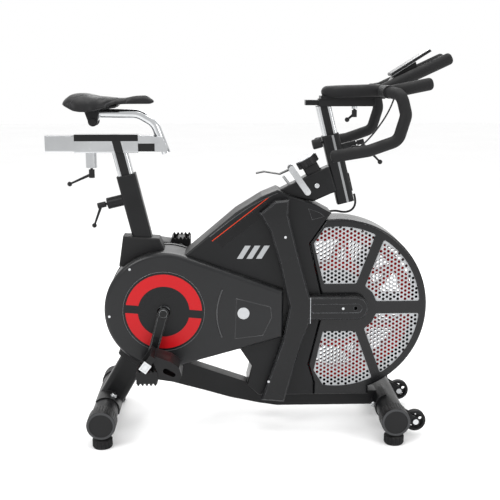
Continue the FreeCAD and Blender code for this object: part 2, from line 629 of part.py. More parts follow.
def toe_cage(px, pz):
    front = px + PEDAL_HALF_LENGTH + 0.05
    cage_in, cage_out = -PEDAL_IN - 2, -PEDAL_OUT + 2
    outline = [(front, pz - 12), (px + 94, pz - 22), (px + 106, pz - 2), (px + 98, pz + 24), (px + 72, pz + 44),
               (px + 26, pz + 60), (px + 18, pz + 50), (front, pz + 12)]
    inner = [(front - 30, pz - 9), (px + 92, pz - 18), (px + 102, pz - 2), (px + 94, pz + 22),
             (px + 70, pz + 40), (px + 20, pz + 56), (px + 6, pz + 60)]
    shell = prism(outline, cage_out, cage_in).cut(prism(inner, cage_out + 3, cage_in - 3))
    slot = link((px + 58, pz + 14), (px + 80, pz + 2), 9.0, 7.0, -300, 0)
    mount = block((front, cage_out + 20, pz - 12), (front + 3, cage_in - 20, pz + 8))
    return joined([shell.cut(slot), mount])


STRAP_LOW, STRAP_HIGH = (-14.0, 15.0), (20.0, 60.0)
STRAP_Y_LOW, STRAP_Y_HIGH = -PEDAL_OUT - 3.5, -PEDAL_IN + 3.5


def strap_outline(px, pz, first, last, half):
    """Rectangle (x, z) along the strap's direction, from first to last, half its width each side."""
    run = (STRAP_HIGH[0] - STRAP_LOW[0], STRAP_HIGH[1] - STRAP_LOW[1])
    size = math.hypot(*run)
    ux, uz = run[0] / size, run[1] / size
    return [(px + STRAP_LOW[0] + ux * a + uz * b, pz + STRAP_LOW[1] + uz * a - ux * b)
            for a, b in ((first, -half), (first, half), (last, half), (last, -half))]


def pedal_strap(px, pz):
    size = math.hypot(STRAP_HIGH[0] - STRAP_LOW[0], STRAP_HIGH[1] - STRAP_LOW[1])
    outer = prism(strap_outline(px, pz, 0, size, 10), STRAP_Y_LOW, STRAP_Y_HIGH)
    gap = prism(strap_outline(px, pz, -9, size - 1.8, 30), STRAP_Y_LOW + 1.8, STRAP_Y_HIGH - 1.8)
    return outer.cut(gap)


def strap_buckle(px, pz):
    frame = prism(strap_outline(px, pz, 2, 32, 13), STRAP_Y_LOW - 4.0, STRAP_Y_LOW - 0.1)
    return frame.cut(prism(strap_outline(px, pz, 2, 32, 13), STRAP_Y_LOW - 5, STRAP_Y_LOW - 1.5, 4.0))


def belt_loop(grow_out, y_low, y_high):
    return link(CRANK, FAN, DRIVE_PULLEY_RADIUS + grow_out, FAN_PULLEY_RADIUS + grow_out, y_low, y_high)


def make_belt():
    outer = belt_loop(BELT_GAP + BELT_THICK, BELT_Y_LOW + BELT_GAP, BELT_Y_HIGH - BELT_GAP)
    inner = belt_loop(BELT_GAP, BELT_Y_LOW - 1, BELT_Y_HIGH + 1)
    add("drive_belt", outer.cut(inner))


# ---- Fan and magnetic brake ------------------------------------------------------------------
def make_fan():
    bearing_outer = 16.0
    hub_half = FAN_HALF_WIDTH + 2
    rotor = disc(FAN, FAN_DISC_RADIUS, 14, FAN_HALF_WIDTH)
    rim = disc(FAN, FAN_DISC_RADIUS, -FAN_HALF_WIDTH, FAN_HALF_WIDTH)
    rim = rim.cut(disc(FAN, FAN_DISC_RADIUS - 14, -30, 30))
    hub = disc(FAN, 26.0, -36, hub_half)
    rotor = joined([rotor, rim, hub]).cut(disc(FAN, bearing_outer, -60, 60))
    add("fan_rotor", rotor)
    bearing = disc(FAN, bearing_outer, -36, -26)
    other = disc(FAN, bearing_outer, hub_half - 10, hub_half)
    add("fan_rotor", *[b.cut(disc(FAN, BEARING_BORE, -60, 60)) for b in (bearing, other)])
    pulley = disc(FAN, FAN_PULLEY_RADIUS, BELT_Y_LOW, -36)
    flange = disc(FAN, FAN_PULLEY_RADIUS + 4, BELT_Y_LOW - 1.5, BELT_Y_LOW - BELT_GAP)
    flange = flange.fuse(disc(FAN, FAN_PULLEY_RADIUS, BELT_Y_LOW - 1.5, BELT_Y_LOW))
    add("fan_rotor", joined([pulley, flange]).cut(disc(FAN, 10.6, -60, 60)))

    ring = disc(FAN, FAN_RADIUS, -FAN_HALF_WIDTH, FAN_HALF_WIDTH)
    ring = ring.cut(disc(FAN, FAN_RADIUS - FAN_RING, -30, 30))
    inner = disc(FAN, FAN_DISC_RADIUS + FAN_INNER_RING, -FAN_HALF_WIDTH, FAN_HALF_WIDTH)
    inner = inner.cut(disc(FAN, FAN_DISC_RADIUS, -30, 30))
    pieces = [ring, inner]
    root, tip = FAN_DISC_RADIUS + FAN_INNER_RING - 3, FAN_RADIUS - FAN_RING + 3
    for i in range(FAN_BLADES):
        angle = FAN_BLADE_START + 360.0 * i / FAN_BLADES
        for swing in (-13.0, 13.0):
            corners = []
            for radius, spread, half in ((root, swing, 7.0), (tip, 0.0, 8.0)):
                for turn in (-half, half):
                    a = math.radians(angle + spread)
                    corners.append((FAN_X + radius * math.cos(a) - turn * math.sin(a),
                                    FAN_Z + radius * math.sin(a) + turn * math.cos(a)))
            corners = [corners[0], corners[2], corners[3], corners[1]]
            pieces.append(prism(corners, -FAN_HALF_WIDTH + 4, FAN_HALF_WIDTH - 4))
    add("fan_wheel", joined(pieces))
    add("fixed_pins", disc(FAN, FAN_AXLE_RADIUS, -74, 74))


MAGNET_PIVOT = (138.0, 470.0)


def make_magnets():
    pads = [(FAN_X + 62 * math.cos(math.radians(a)), FAN_Z + 62 * math.sin(math.radians(a))) for a in (140, 180, 220)]
    arm = link(MAGNET_PIVOT, pads[0], 16.0, 18.0, 32, 37)
    sweep = link(pads[0], pads[1], 17.0, 17.0, 32, 37)
    tail = link(pads[1], pads[2], 17.0, 17.0, 32, 37)
    carrier = joined([arm, sweep, tail]).cut(disc(MAGNET_PIVOT, 5.0 + PIN_FIT, -80, 80))
    add("magnet_carrier", carrier)
    add("magnet_carrier", *[disc(p, 14.0, 27, 32) for p in pads])
    pin = disc(MAGNET_PIVOT, 5.0, 31, 62)
    head = disc(MAGNET_PIVOT, 9.0, 28, 31)
    spacer = disc(MAGNET_PIVOT, 9.0, 38, 62)
    add("fixed_pins", joined([pin, head, spacer]))


PILLAR_OUTLINE = [(37, 713), (84, 752), (127, 756), (125, 709), (152, 600), (195, 446), (195, 362),
                  (173, 302), (116, 100), (43, 106), (110, 306), (131, 414), (122, 454), (97, 566), (70, 656)]
ARM_HALF = 37.5
ARM_END = (343.0, FAN_Z + 6)


def pillar_outer(y_low, y_high, inset=0.0):
    arm = link((150, ARM_END[1]), ARM_END, ARM_HALF - inset, ARM_HALF - inset - 0.001, y_low, y_high)
    return joined([prism(PILLAR_OUTLINE, y_low, y_high, inset), arm.common(
        block((160, y_low, 300), (420, y_high, 500)))])


def make_fork():
    plate = pillar_outer(-72, -66, WALL + 6)
    tools = [disc(FAN, FAN_AXLE_RADIUS, -100, 0)]
    plate = plate.cut(tools[0])
    spacers = [disc(c, 12.0, -66, -CROSS_HALF) for c in ((88.0, 690.0), (88.0, RAIL_TOP + CROSS_RADIUS + 4))]
    add("fan_fork", *both_sides(joined([plate] + spacers)))


# ---- Plastic covers --------------------------------------------------------------------------
BODY_TOP = [(-130, 634), (-36, 713), (45, 763), (93, 783), (131, 763), (216, 734), (262, 709)]
SEAM = [(249, 690), (196, 613), (243, 414), (197, 214), (216, 154), (216, RAIL_TOP + 1)]
BODY_LOW = [(36, RAIL_TOP + 1), (-2, 148), (13, 211), (-24, 268)]
SEAM_GAP = 1.5
COVER_TAIL = [(112, 467), (112, 314)]


def body_block(inset, y_low, y_high):
    seam = [(x - SEAM_GAP, z) for x, z in SEAM]
    return drum_prism(DRUM_RADIUS - 2, BODY_TOP + seam + BODY_LOW, y_low, y_high, inset, True)


def cage_block(inset, y_low, y_high):
    far = 600.0
    region = [SEAM[0], (249, 800), (far, 800), (far, RAIL_TOP + 1)] + SEAM[:0:-1]
    side = prism(region, y_low, y_high, inset)
    round_part = disc(FAN, CAGE_RADIUS - inset, y_low, y_high)
    foot = block((216 + inset, y_low, RAIL_TOP + 1 + inset), (392 - inset, y_high, 170))
    return joined([side.common(round_part), foot])


def window_shapes():
    """The four openings in the side of the cage, as prisms cut to the window circle."""
    upper = [(241, 482), (208, 613), (242, 664), (262, 720), (432, 720), (345, 482)]
    front = [(373, 474), (470, 735), (640, 735), (640, FAN_Z + 20), (410, FAN_Z + 20), (398, FAN_Z + 48)]
    front_low = [(x, 2 * FAN_Z - z) for x, z in front]
    lower = [(241, 326), (213, 195), (244, 144), (262, 88), (432, 88), (345, 326)]
    shapes = [upper, lower, front, front_low]
    solids = []
    for points in shapes:
        solid = prism(points, -70, -40).common(disc(FAN, WINDOW_RADIUS, -70, -40))
        solids.append(solid.makeFillet(6, edges_along_y(solid, 30)))
    return solids


def shell_screws(spots, face):
    return [disc(p, 4.0, -face - 0.8, -face + 3) for p in spots]


BELT_COVER_SCREWS = [(-264 + 171 * math.cos(math.radians(a)), 404 + 171 * math.sin(math.radians(a)))
                     for a in (127, 185, 262)]
PILLAR_SCREWS = [(66, 170), (116, 640), (300, FAN_Z + 6)]
FRAME_TOOLS_GAP = 1.0


def make_body_shells():
    frame_tools = [seat_tube_outer(FRAME_TOOLS_GAP), leg_outer(FRAME_TOOLS_GAP), rail_outer(FRAME_TOOLS_GAP),
                   neck_outer(FRAME_TOOLS_GAP), spine_outer(FRAME_TOOLS_GAP)]
    magnet_way = block((180, 24, 332), (266, 40, 486))
    holes = [magnet_way, disc(CROSS_LOW, CROSS_RADIUS + 1, -90, 90), disc(CROSS_HIGH, CROSS_RADIUS + 1, -90, 90),
             disc(MAGNET_PIVOT, 10.0, -1, 90), disc(CRANK, 40.0, -90, 90)]
    sweep = disc(FAN, FAN_RADIUS + 6, -FAN_HALF_WIDTH - 4, FAN_HALF_WIDTH + 4)
    belt_way = belt_loop(BELT_GAP + BELT_THICK + 8, BELT_Y_LOW - 5, BELT_Y_HIGH + 5)
    for hand, side in (("right", RIGHT), ("left", LEFT)):
        outer = body_block(0, -BODY_HALF, -CENTRE_GAP)
        outer = outer.makeFillet(7, edges_on_plane(outer, -BODY_HALF))
        shell = outer.cut(body_block(WALL, -BODY_HALF + WALL, 1))
        shell = cut_all(on_side(shell, side), frame_tools + holes + [sweep, belt_way])
        add("body_shell_" + hand, max(shell.Solids, key=lambda s: s.Volume))

        cage = cage_block(0, -BODY_HALF, -CENTRE_GAP)
        cage = cage.makeFillet(7, edges_on_plane(cage, -BODY_HALF))
        cage = cage.cut(cage_block(WALL, -BODY_HALF + WALL, 1))
        cage = cut_all(cage, window_shapes() + [disc(FAN, 14.0, -90, 0), block((384, -26, 100), (440, 1, 120))])
        cage = cut_all(on_side(cage, side), [sweep, belt_way, magnet_way])
        add("cage_shell_" + hand, max(cage.Solids, key=lambda s: s.Volume))


def make_belt_covers():
    face_y = -COVER_HALF
    base_y = -BODY_HALF - LAYER_GAP
    screws = []
    for hand, side in (("right", RIGHT), ("left", LEFT)):
        outer = drum_prism(DRUM_RADIUS, COVER_TAIL, face_y, base_y)
        outer = outer.makeFillet(14, edges_on_plane(outer, face_y))
        inner = drum_prism(DRUM_RADIUS, COVER_TAIL, face_y + WALL, 0, WALL)
        inner = inner.makeFillet(14 - WALL, edges_on_plane(inner, face_y + WALL))
        shell = outer.cut(inner)
        ledge = disc(CRANK, DISC_RADIUS + 6, face_y + WALL, face_y + WALL + 3)
        shell = joined([shell, ledge.cut(disc(CRANK, DISC_RADIUS - 6, -100, 0))])
        shell = shell.cut(disc(CRANK, DISC_RADIUS + 1, -100, face_y + WALL))
        shell = cut_all(shell, [pillar_outer(-120, 0, -1.0)] + shell_screws(BELT_COVER_SCREWS, COVER_HALF))
        add("belt_cover_" + hand, on_side(max(shell.Solids, key=lambda s: s.Volume), side))
        plate = disc(CRANK, DISC_RADIUS, face_y - 1, face_y + WALL).cut(disc(CRANK, 20.0, -100, 0))
        add("cover_discs", on_side(plate, side))
    for spot in shell_screws(BELT_COVER_SCREWS, COVER_HALF):
        screws.extend(both_sides(spot))
    for spot in shell_screws(PILLAR_SCREWS, PILLAR_HALF):
        screws.extend(both_sides(spot))
    add("fasteners", *screws)

    ring = disc(CRANK, RING_OUTER, face_y - 2, face_y - 1).cut(disc(CRANK, RING_INNER, -100, 0))
    bar = Part.makeBox(300, 10, 2 * RING_GAP_HALF, Vector(-150, -5, -RING_GAP_HALF))
    bar.rotate(Vector(0, 0, 0), Vector(0, 1, 0), -RING_TILT)
    bar.translate(Vector(CRANK_X, face_y, CRANK_Z))
    arcs = ring.cut(bar)
    add("cover_discs", *both_sides(arcs))


def make_pillars():
    for hand, side in (("right", RIGHT), ("left", LEFT)):
        outer = pillar_outer(-PILLAR_HALF, -BODY_HALF - LAYER_GAP)
        outer = outer.makeChamfer(5, edges_on_plane(outer, -PILLAR_HALF))
        shell = outer.cut(pillar_outer(-PILLAR_HALF + WALL, 0, WALL))
        groove = link((210, ARM_END[1]), (346, ARM_END[1]), 14.0, 13.99, -PILLAR_HALF - 1, -PILLAR_HALF + 1.5)
        hole = disc((340, ARM_END[1]), 6.0, -PILLAR_HALF - 1, -PILLAR_HALF + 5)
        shell = cut_all(shell, [groove, hole] + shell_screws(PILLAR_SCREWS, PILLAR_HALF))
        add("pillar_covers", on_side(max(shell.Solids, key=lambda s: s.Volume), side))


def grille_panel(y_low, y_high):
    """Perforated sheet behind the four windows, one panel for each."""
    rows_pitch = GRILLE_PITCH * math.sqrt(3) / 2
    edge = 7.0
    panels = []
    for window in window_shapes():
        low, high = window.BoundBox.XMin, window.BoundBox.XMax
        bottom, top = window.BoundBox.ZMin, window.BoundBox.ZMax
        face = [f for f in window.Faces if abs(f.BoundBox.YMax + 70) < 0.01][0]
        outline = face.OuterWire.makeOffset2D(4.0, 0)
        limit = face.OuterWire.makeOffset2D(edge - 9.0, 0)
        limit_face = Part.Face(limit)
        holes = []
        column = 0
        x = low
        while x < high:
            z = bottom + (GRILLE_PITCH / 2 if column % 2 else 0.0)
            while z < top:
                if limit_face.isInside(Vector(x, -70, z), 0.01, True):
                    ring = [Vector(x + GRILLE_HOLE / math.sqrt(3) * math.cos(math.radians(60 * k)), -70,
                                   z + GRILLE_HOLE / math.sqrt(3) * math.sin(math.radians(60 * k)))
                            for k in range(7)]
                    holes.append(Part.makePolygon(ring))
                z += GRILLE_PITCH
            x += rows_pitch
            column += 1
        sheet = Part.makeFace([outline] + holes, "Part::FaceMakerBullseye")
        sheet.translate(Vector(0, 70 + y_low, 0))
        panels.append(sheet.extrude(Vector(0, y_high - y_low, 0)))
    return panels


def make_grilles():
    back = -BODY_HALF + WALL + 0.2
    for hand, side in (("right", RIGHT), ("left", LEFT)):
        panels = grille_panel(back, back + GRILLE_THICK)
        add("grilles", *[on_side(p, side) for p in panels])


def make_trim():
    half = 34.0
    boot = prism([(-391, 634), (-278, 627), (-266, 600), (-258, 570), (-300, 520), (-406, 538)], -half, half)
    boot = boot.makeFillet(6, edges_on_plane(boot, -half) + edges_on_plane(boot, half))
    boot = cut_all(boot, [body_block(-LAYER_GAP, -90, 90), seat_tube_outer()])
    add("tube_boots", max(boot.Solids, key=lambda s: s.Volume))

    collar = aim(section_bar(LEG_DEPTH + 26, LEG_WIDTH + 18, 150, 22), along(REAR_STAND, LEG_UP, 165), LEG_UP)
    collar = cut_all(collar, [body_block(-LAYER_GAP, -90, 90), leg_outer(), rail_outer(0.5)])
    add("tube_boots", max(collar.Solids, key=lambda s: s.Volume))

    across = (SPINE_UP[1], -SPINE_UP[0])
    origin = (-130.0, 634.0)

    def strip(first, last, near, far, thick):
        points = [(origin[0] + SPINE_UP[0] * s + across[0] * o, origin[1] + SPINE_UP[1] * s + across[1] * o)
                  for s, o in ((first, near), (last, near), (last, far), (first, far))]
        return prism(points, -BODY_HALF - thick, -BODY_HALF).cut(pillar_outer(-120, 0, -1.0))

    add("side_trim", *both_sides(strip(8, 232, 19, 21.5, 0.8)))
    add("side_trim", *both_sides(strip(18, 214, 26, 56, 0.8)))
    bars = []
    for i in range(3):
        left = -34.0 + 30.0 * i
        bars.extend(both_sides(prism([(left, 566), (left + 18, 566), (left + 44, 608), (left + 26, 608)],
                                     -BODY_HALF - 2, -BODY_HALF)))
    add("side_trim", *bars)
    badge = disc((-14, 396), 19.0, -COVER_HALF - 2, -COVER_HALF)
    badge = badge.makeFillet(1.2, edges_on_plane(badge, -COVER_HALF - 2))
    add("side_trim", *both_sides(badge))


# ---- Resistance knob and brake lever ---------------------------------------------------------
def make_controls():
    holder = aim(section_bar(48, 44, 47, 8), KNOB_BASE, KNOB_AXIS)
    root = aim(section_bar(54, 44, 26, 8), along(KNOB_BASE, KNOB_AXIS, -26), KNOB_AXIS)
    collar = aim(section_bar(54, 48, 20, 8), KNOB_BASE, KNOB_AXIS).cut(holder)
    holder = cut_all(joined([holder, root]), [knob_bore(), neck_outer(), head_outer()])
    add("knob_holder", max(holder.Solids, key=lambda s: s.Volume))
    collar = cut_all(collar, [neck_outer(), head_outer()])
    add("knob_holder", max(collar.Solids, key=lambda s: s.Volume))

    cap = Part.makeCylinder(35, 24, Vector(0, 0, 50))
    cap = cap.makeFillet(4, [e for e in cap.Edges if e.Closed and e.CenterOfMass.z > 70])
    for i in range(18):
        angle = 2 * math.pi * i / 18
        cap = cap.cut(Part.makeCylinder(3.0, 17, Vector(36.2 * math.cos(angle), 36.2 * math.sin(angle), 49)))
    stem = Part.makeCylinder(6.0, 40, Vector(0, 0, 12))
    rim = Part.makeCylinder(33, 1.5, Vector(0, 0, 74))
    knob = aim(joined([cap, stem, rim]), KNOB_BASE, KNOB_AXIS)
    add("resistance_knob", knob)

    pivot = (139.0, 842.0)
    foot = (189.0, 771.0)
    arm = link(foot, pivot, 10.0, 10.0001, -NECK_HALF - 4.3, -NECK_HALF - 0.3)
    pin = disc(pivot, 3.0, -NECK_HALF - 4.3, NECK_HALF + 4.3)
    screws = disc(foot, 6.0, -NECK_HALF - 8.3, -NECK_HALF - 4.3)
    add("brake_bracket", joined([arm, mirrored(arm), pin, screws, mirrored(screws)]))
    blade_top = [(28, 829.5), (53, 834.5), (102, 826.5), (134, 842)]
    blade_low = [(136, 838), (103, 823.5), (53, 831.5), (28, 826.5)]
    blade = joined([prism(blade_top + blade_low, -12, 12), disc(pivot, 6.5, -12, 12)])
    add("brake_lever", blade.cut(disc(pivot, 3.0 + PIN_FIT, -50, 50)))
    rise = (-0.62, 0.785)
    spring = aim(Part.makeCylinder(4.0, 28), (131, 796), rise).cut(neck_outer())
    spring = spring.cut(prism(blade_top + blade_low, -20, 20, -2.2))
    add("brake_bracket", max(spring.Solids, key=lambda s: s.Volume))
    bolt = disc((218, 791), 8.0, -NECK_HALF - 4, -NECK_HALF)
    bolt = bolt.makeFillet(2, edges_on_plane(bolt, -NECK_HALF - 4))
    add("fasteners", *both_sides(bolt))


# ---- Seat ------------------------------------------------------------------------------------
SEAT_BACK = (-SEAT_UP[1], SEAT_UP[0])       # out of the rear face of the seat tube
PIN_BOSS_LENGTH = 50.0
BAR_BOSS_LENGTH = 46.0
SEAT_PIN_BASE = along(SEAT_TUBE_TOP, SEAT_UP, -72, -SEAT_TUBE_DEPTH / 2)
HEAD_BACK = (-HEAD_UP[1], HEAD_UP[0])
HEAD_FRONT = (HEAD_UP[1], -HEAD_UP[0])
BAR_PIN_BASE = along(HEAD_TOP, HEAD_UP, -16, -HEAD_DEPTH / 2)
BAR_BOSS_BASE = along(HEAD_TOP, HEAD_UP, -44, HEAD_DEPTH / 2)


def pointing(base, direction, radius, length, offset=0.0):
    """Round bar from a base point (x, z), offset along its own direction."""
    start = (base[0] + direction[0] * offset, 0, base[1] + direction[1] * offset)
    return rod(start, (direction[0], 0, direction[1]), radius, length)


def knob_bore():
    return aim(Part.makeCylinder(6.0 + PIN_FIT, 60), along(KNOB_BASE, KNOB_AXIS, 8), KNOB_AXIS)


def bar_pin_hole():
    return pointing(BAR_PIN_BASE, HEAD_BACK, 4.0 + PIN_FIT, 12, -6)


def bar_boss_hole():
    return pointing(BAR_BOSS_BASE, HEAD_FRONT, 4.0 + PIN_FIT, BAR_BOSS_LENGTH + 20, -6)


def seat_pin_hole():
    return pointing(SEAT_PIN_BASE, SEAT_BACK, 4.0 + PIN_FIT, 12, -6)


def make_seat():
    reach = PIN_BOSS_LENGTH + 6
    seat = (SEAT_PIN_BASE[0] + SEAT_BACK[0] * reach, 0, SEAT_PIN_BASE[1] + SEAT_BACK[1] * reach)
    lever = clamp_lever(seat, (-SEAT_BACK[0], 0, -SEAT_BACK[1]), (-483, 0, 664), 9.0, 26.0, reach + 2)
    add("seat_pin_lever", lever)

    sleeve_half_z = SEAT_RAIL_HEIGHT / 2 + SLIDE_FIT + SLEEVE_WALL
    sleeve_half_y = SEAT_RAIL_WIDTH / 2 + SLIDE_FIT + SLEEVE_WALL
    under = SEAT_RAIL_Z - sleeve_half_z
    sleeve = block((SLEEVE_REAR, -sleeve_half_y, under), (SLEEVE_FRONT, sleeve_half_y, SEAT_RAIL_Z + sleeve_half_z))
    long_edges = [e for e in sleeve.Edges if e.BoundBox.XLength > 100]
    sleeve = sleeve.makeFillet(4, long_edges)
    bore_half_z, bore_half_y = SEAT_RAIL_HEIGHT / 2 + SLIDE_FIT, SEAT_RAIL_WIDTH / 2 + SLIDE_FIT
    sleeve = sleeve.cut(block((-800, -bore_half_y, SEAT_RAIL_Z - bore_half_z), (0, bore_half_y, SEAT_RAIL_Z + bore_half_z)))
    boss = rod((-485, 0, under - 47), (0, 0, 1), 17.0, 48)
    sleeve = joined([sleeve, boss.cut(block((-600, -50, under), (-300, 50, 1000)))])
    sleeve = sleeve.cut(rod((-485, 0, 800), (0, 0, 1), 4.0 + PIN_FIT, under - 800 + 1))
    lever = clamp_lever((-485, 0, under - 47 - 6), (0, 0, 1), (-555, 0, 796), 9.0, 26.0, 48)
    add("seat_slide_lever", lever)

    post_top = (under - SEAT_TUBE_TOP[1]) / SEAT_UP[1]
    post_low = -250.0
    outer = aim(section_bar(SEAT_POST_DEPTH, SEAT_POST_WIDTH, post_top - post_low + 20, 8),
                along(SEAT_TUBE_TOP, SEAT_UP, post_low), SEAT_UP)
    inner = aim(section_bar(SEAT_POST_DEPTH - 2 * POST_WALL, SEAT_POST_WIDTH - 2 * POST_WALL,
                            post_top - post_low + 60, 6), along(SEAT_TUBE_TOP, SEAT_UP, post_low - 20), SEAT_UP)
    above = block((-700, -60, under), (0, 60, 1100))
    add("seat_post", joined([cut_all(outer, [inner, above]), sleeve]))

    half_z, half_y = SEAT_RAIL_HEIGHT / 2, SEAT_RAIL_WIDTH / 2
    rail = block((RAIL_REAR, -half_y, SEAT_RAIL_Z - half_z), (RAIL_FRONT, half_y, SEAT_RAIL_Z + half_z))
    rail = rail.makeFillet(3, [e for e in rail.Edges if e.BoundBox.XLength > 100])
    rail = rail.cut(block((RAIL_REAR - 1, -half_y + 2, SEAT_RAIL_Z - half_z + 2),
                          (RAIL_FRONT + 1, half_y - 2, SEAT_RAIL_Z + half_z - 2)))
    add("seat_rail", rail)

    points = [(-468, 0, 1015), (-336, 0, 1013), (-286, 0, 984), (-252, 0, 892)]
    tube = swept(rounded_path(points, 55.0), NECK_TUBE_RADIUS)
    eye = disc(SADDLE_PIVOT, 13.0, -13.5, 13.5)
    web = prism([(-486, 991), (-460, 991), (-448, 1012), (-468, 1016)], -13.5, 13.5)
    tube = joined([tube, eye, web]).cut(disc(SADDLE_PIVOT, 5.0 + PIN_FIT, -60, 60))
    tube = tube.cut(block((RAIL_REAR, -half_y, SEAT_RAIL_Z - half_z), (RAIL_FRONT, half_y, SEAT_RAIL_Z + half_z)))
    add("seat_rail", tube)
    lug = block((RAIL_FRONT, -half_y, SEAT_RAIL_Z - half_z), (-246, half_y, SEAT_RAIL_Z + half_z - 4))
    lug = lug.cut(prism([(-264, 950), (-200, 950), (-200, 890), (-236, 890)], -60, 60))
    lug = lug.cut(tube)
    add("seat_rail", max(lug.Solids, key=lambda s: s.Volume))


def make_saddle():
    side = [(-562, 1044), (-556, 1064), (-530, 1079), (-500, 1080), (-440, 1069), (-380, 1066), (-335, 1073),
            (-310, 1074), (-290, 1062), (-281, 1048), (-300, 1042), (-380, 1042), (-420, 1036), (-470, 1032),
            (-520, 1030)]
    pad = prism(side, -SADDLE_HALF_BREADTH, SADDLE_HALF_BREADTH)
    plan = [(-562, 60), (-548, 96), (-515, 105), (-480, 98), (-440, 66), (-400, 40), (-350, 28), (-300, 24),
            (-281, 14)]
    corners = [Vector(x, -y, 1000) for x, y in plan] + [Vector(x, y, 1000) for x, y in reversed(plan)]
    shape = Part.Face(Part.makePolygon(corners + corners[:1])).extrude(Vector(0, 0, 100))
    add("saddle_pad", pad.common(shape))
    base = [(-535, 1029.5), (-480, 1031.5), (-420, 1035.5), (-395, 1039.5), (-402, 1033), (-430, 1029),
            (-470, 1026), (-530, 1024)]
    ear = [(-500, 1027), (-452, 1028), (-459, 990), (-487, 990)]
    ears = [prism(ear, -24, -15), prism(ear, 15, 24), disc(SADDLE_PIVOT, 15.0, -24, -15),
            disc(SADDLE_PIVOT, 15.0, 15, 24)]
    plate = prism(base, -42, 42)
    neck_way = block((-484, -15, 970), (-380, 15, 1040))
    bridge = joined([plate] + ears).cut(neck_way).cut(prism(side, -60, 60))
    add("saddle_base", bridge.cut(disc(SADDLE_PIVOT, 5.0, -60, 60)))
    bolt = disc(SADDLE_PIVOT, 5.0, -28, 28)
    heads = [disc(SADDLE_PIVOT, 9.0, -31, -24), disc(SADDLE_PIVOT, 9.0, 24, 31)]
    add("saddle_base", joined([bolt] + heads))


# ---- Handlebar -------------------------------------------------------------------------------
def make_bar_post():
    top = (SLIDER_Z - HEAD_TOP[1]) / HEAD_UP[1]
    low = -170.0
    outer = aim(section_bar(BAR_POST_DEPTH, BAR_POST_WIDTH, top - low + 15, 8),
                along(HEAD_TOP, HEAD_UP, low), HEAD_UP)
    inner = aim(section_bar(BAR_POST_DEPTH - 2 * POST_WALL, BAR_POST_WIDTH - 2 * POST_WALL, top - low + 60, 6),
                along(HEAD_TOP, HEAD_UP, low - 20), HEAD_UP)
    post = cut_all(outer, [inner, block((0, -60, SLIDER_Z), (600, 60, 1200))])

    floor, side = 3.0, 3.8
    bore_half = BAR_RAIL_WIDTH / 2 + SLIDE_FIT
    top_z = SLIDER_Z + floor + BAR_RAIL_HEIGHT + 2 * SLIDE_FIT + floor
    sleeve = block((BAR_SLEEVE_REAR, -bore_half - side, SLIDER_Z), (BAR_SLEEVE_FRONT, bore_half + side, top_z))
    sleeve = sleeve.cut(block((0, -bore_half, SLIDER_Z + floor), (600, bore_half, top_z - floor)))
    sleeve = sleeve.cut(block((0, -12, top_z - floor - 1), (600, 12, top_z + 1)))
    boss = rod((334, 0, SLIDER_Z - 8), (0, 0, 1), 9.0, 8)
    sleeve = joined([sleeve, boss]).cut(rod((334, 0, SLIDER_Z - 20), (0, 0, 1), 4.0 + PIN_FIT, 24))
    add("bar_post", joined([post, sleeve]))
    add("bar_slide_lever", clamp_lever((334, 0, SLIDER_Z - 12), (0, 0, 1), (312, 0, 994), 8.0, 22.0, 14))

    rail_low = SLIDER_Z + floor + SLIDE_FIT
    rail = block((BAR_RAIL_REAR, -BAR_RAIL_WIDTH / 2, rail_low),
                 (BAR_RAIL_FRONT, BAR_RAIL_WIDTH / 2, rail_low + BAR_RAIL_HEIGHT))
    add("bar_rail", rail)
    plate_low = top_z + 0.4
    neck = block((BAR_RAIL_REAR + 50, -11, rail_low + BAR_RAIL_HEIGHT), (BAR_RAIL_FRONT, 11, plate_low + 1))
    plate = block((BAR_RAIL_REAR + 46, -30, plate_low), (424, 30, plate_low + 9))
    plate = joined([neck, plate])
    add("bar_rail", cut_all(plate, [loop_solid(), crossbar_solid()]))

    reach = BAR_BOSS_LENGTH + 4
    seat = (BAR_BOSS_BASE[0] + HEAD_FRONT[0] * reach, 0, BAR_BOSS_BASE[1] + HEAD_FRONT[1] * reach)
    lever = clamp_lever(seat, (-HEAD_FRONT[0], 0, -HEAD_FRONT[1]), (419, 0, 862), 8.0, 22.0, reach + 2)
    add("bar_clamp_lever", lever)
    pin = pointing(BAR_PIN_BASE, HEAD_BACK, 4.0, 12, -2.0)
    head = pointing(BAR_PIN_BASE, HEAD_BACK, 15.5, 26, 7.0)
    head = head.makeFillet(4, [e for e in head.Edges if e.Closed][:1])
    add("tube_fittings", joined([pin, head]))


GRIP_Z = 1079.0
CROSSBAR = (412.0, GRIP_Z + 4)
LOOP_HALF = 46.0


def loop_solid():
    """One tube: both forward horns, run back to a U-bend behind the slider."""
    near = [(619.4, 1183), (458, 1108), (408, 1084), (248, GRIP_Z)]
    points = [(x, -LOOP_HALF, z) for x, z in near] + [(x, LOOP_HALF, z) for x, z in reversed(near)]
    tube = swept(rounded_path(points, 42.0), BAR_RADIUS + 0.5)
    return round_ends(tube, 12.0, [points[0], points[-1]])


def crossbar_solid():
    return rod((CROSSBAR[0], -156, CROSSBAR[1]), (0, 1, 0), HORN_RADIUS, 312)


def large_pieces(shape, least=5000.0):
    return [solid for solid in shape.Solids if solid.Volume > least]


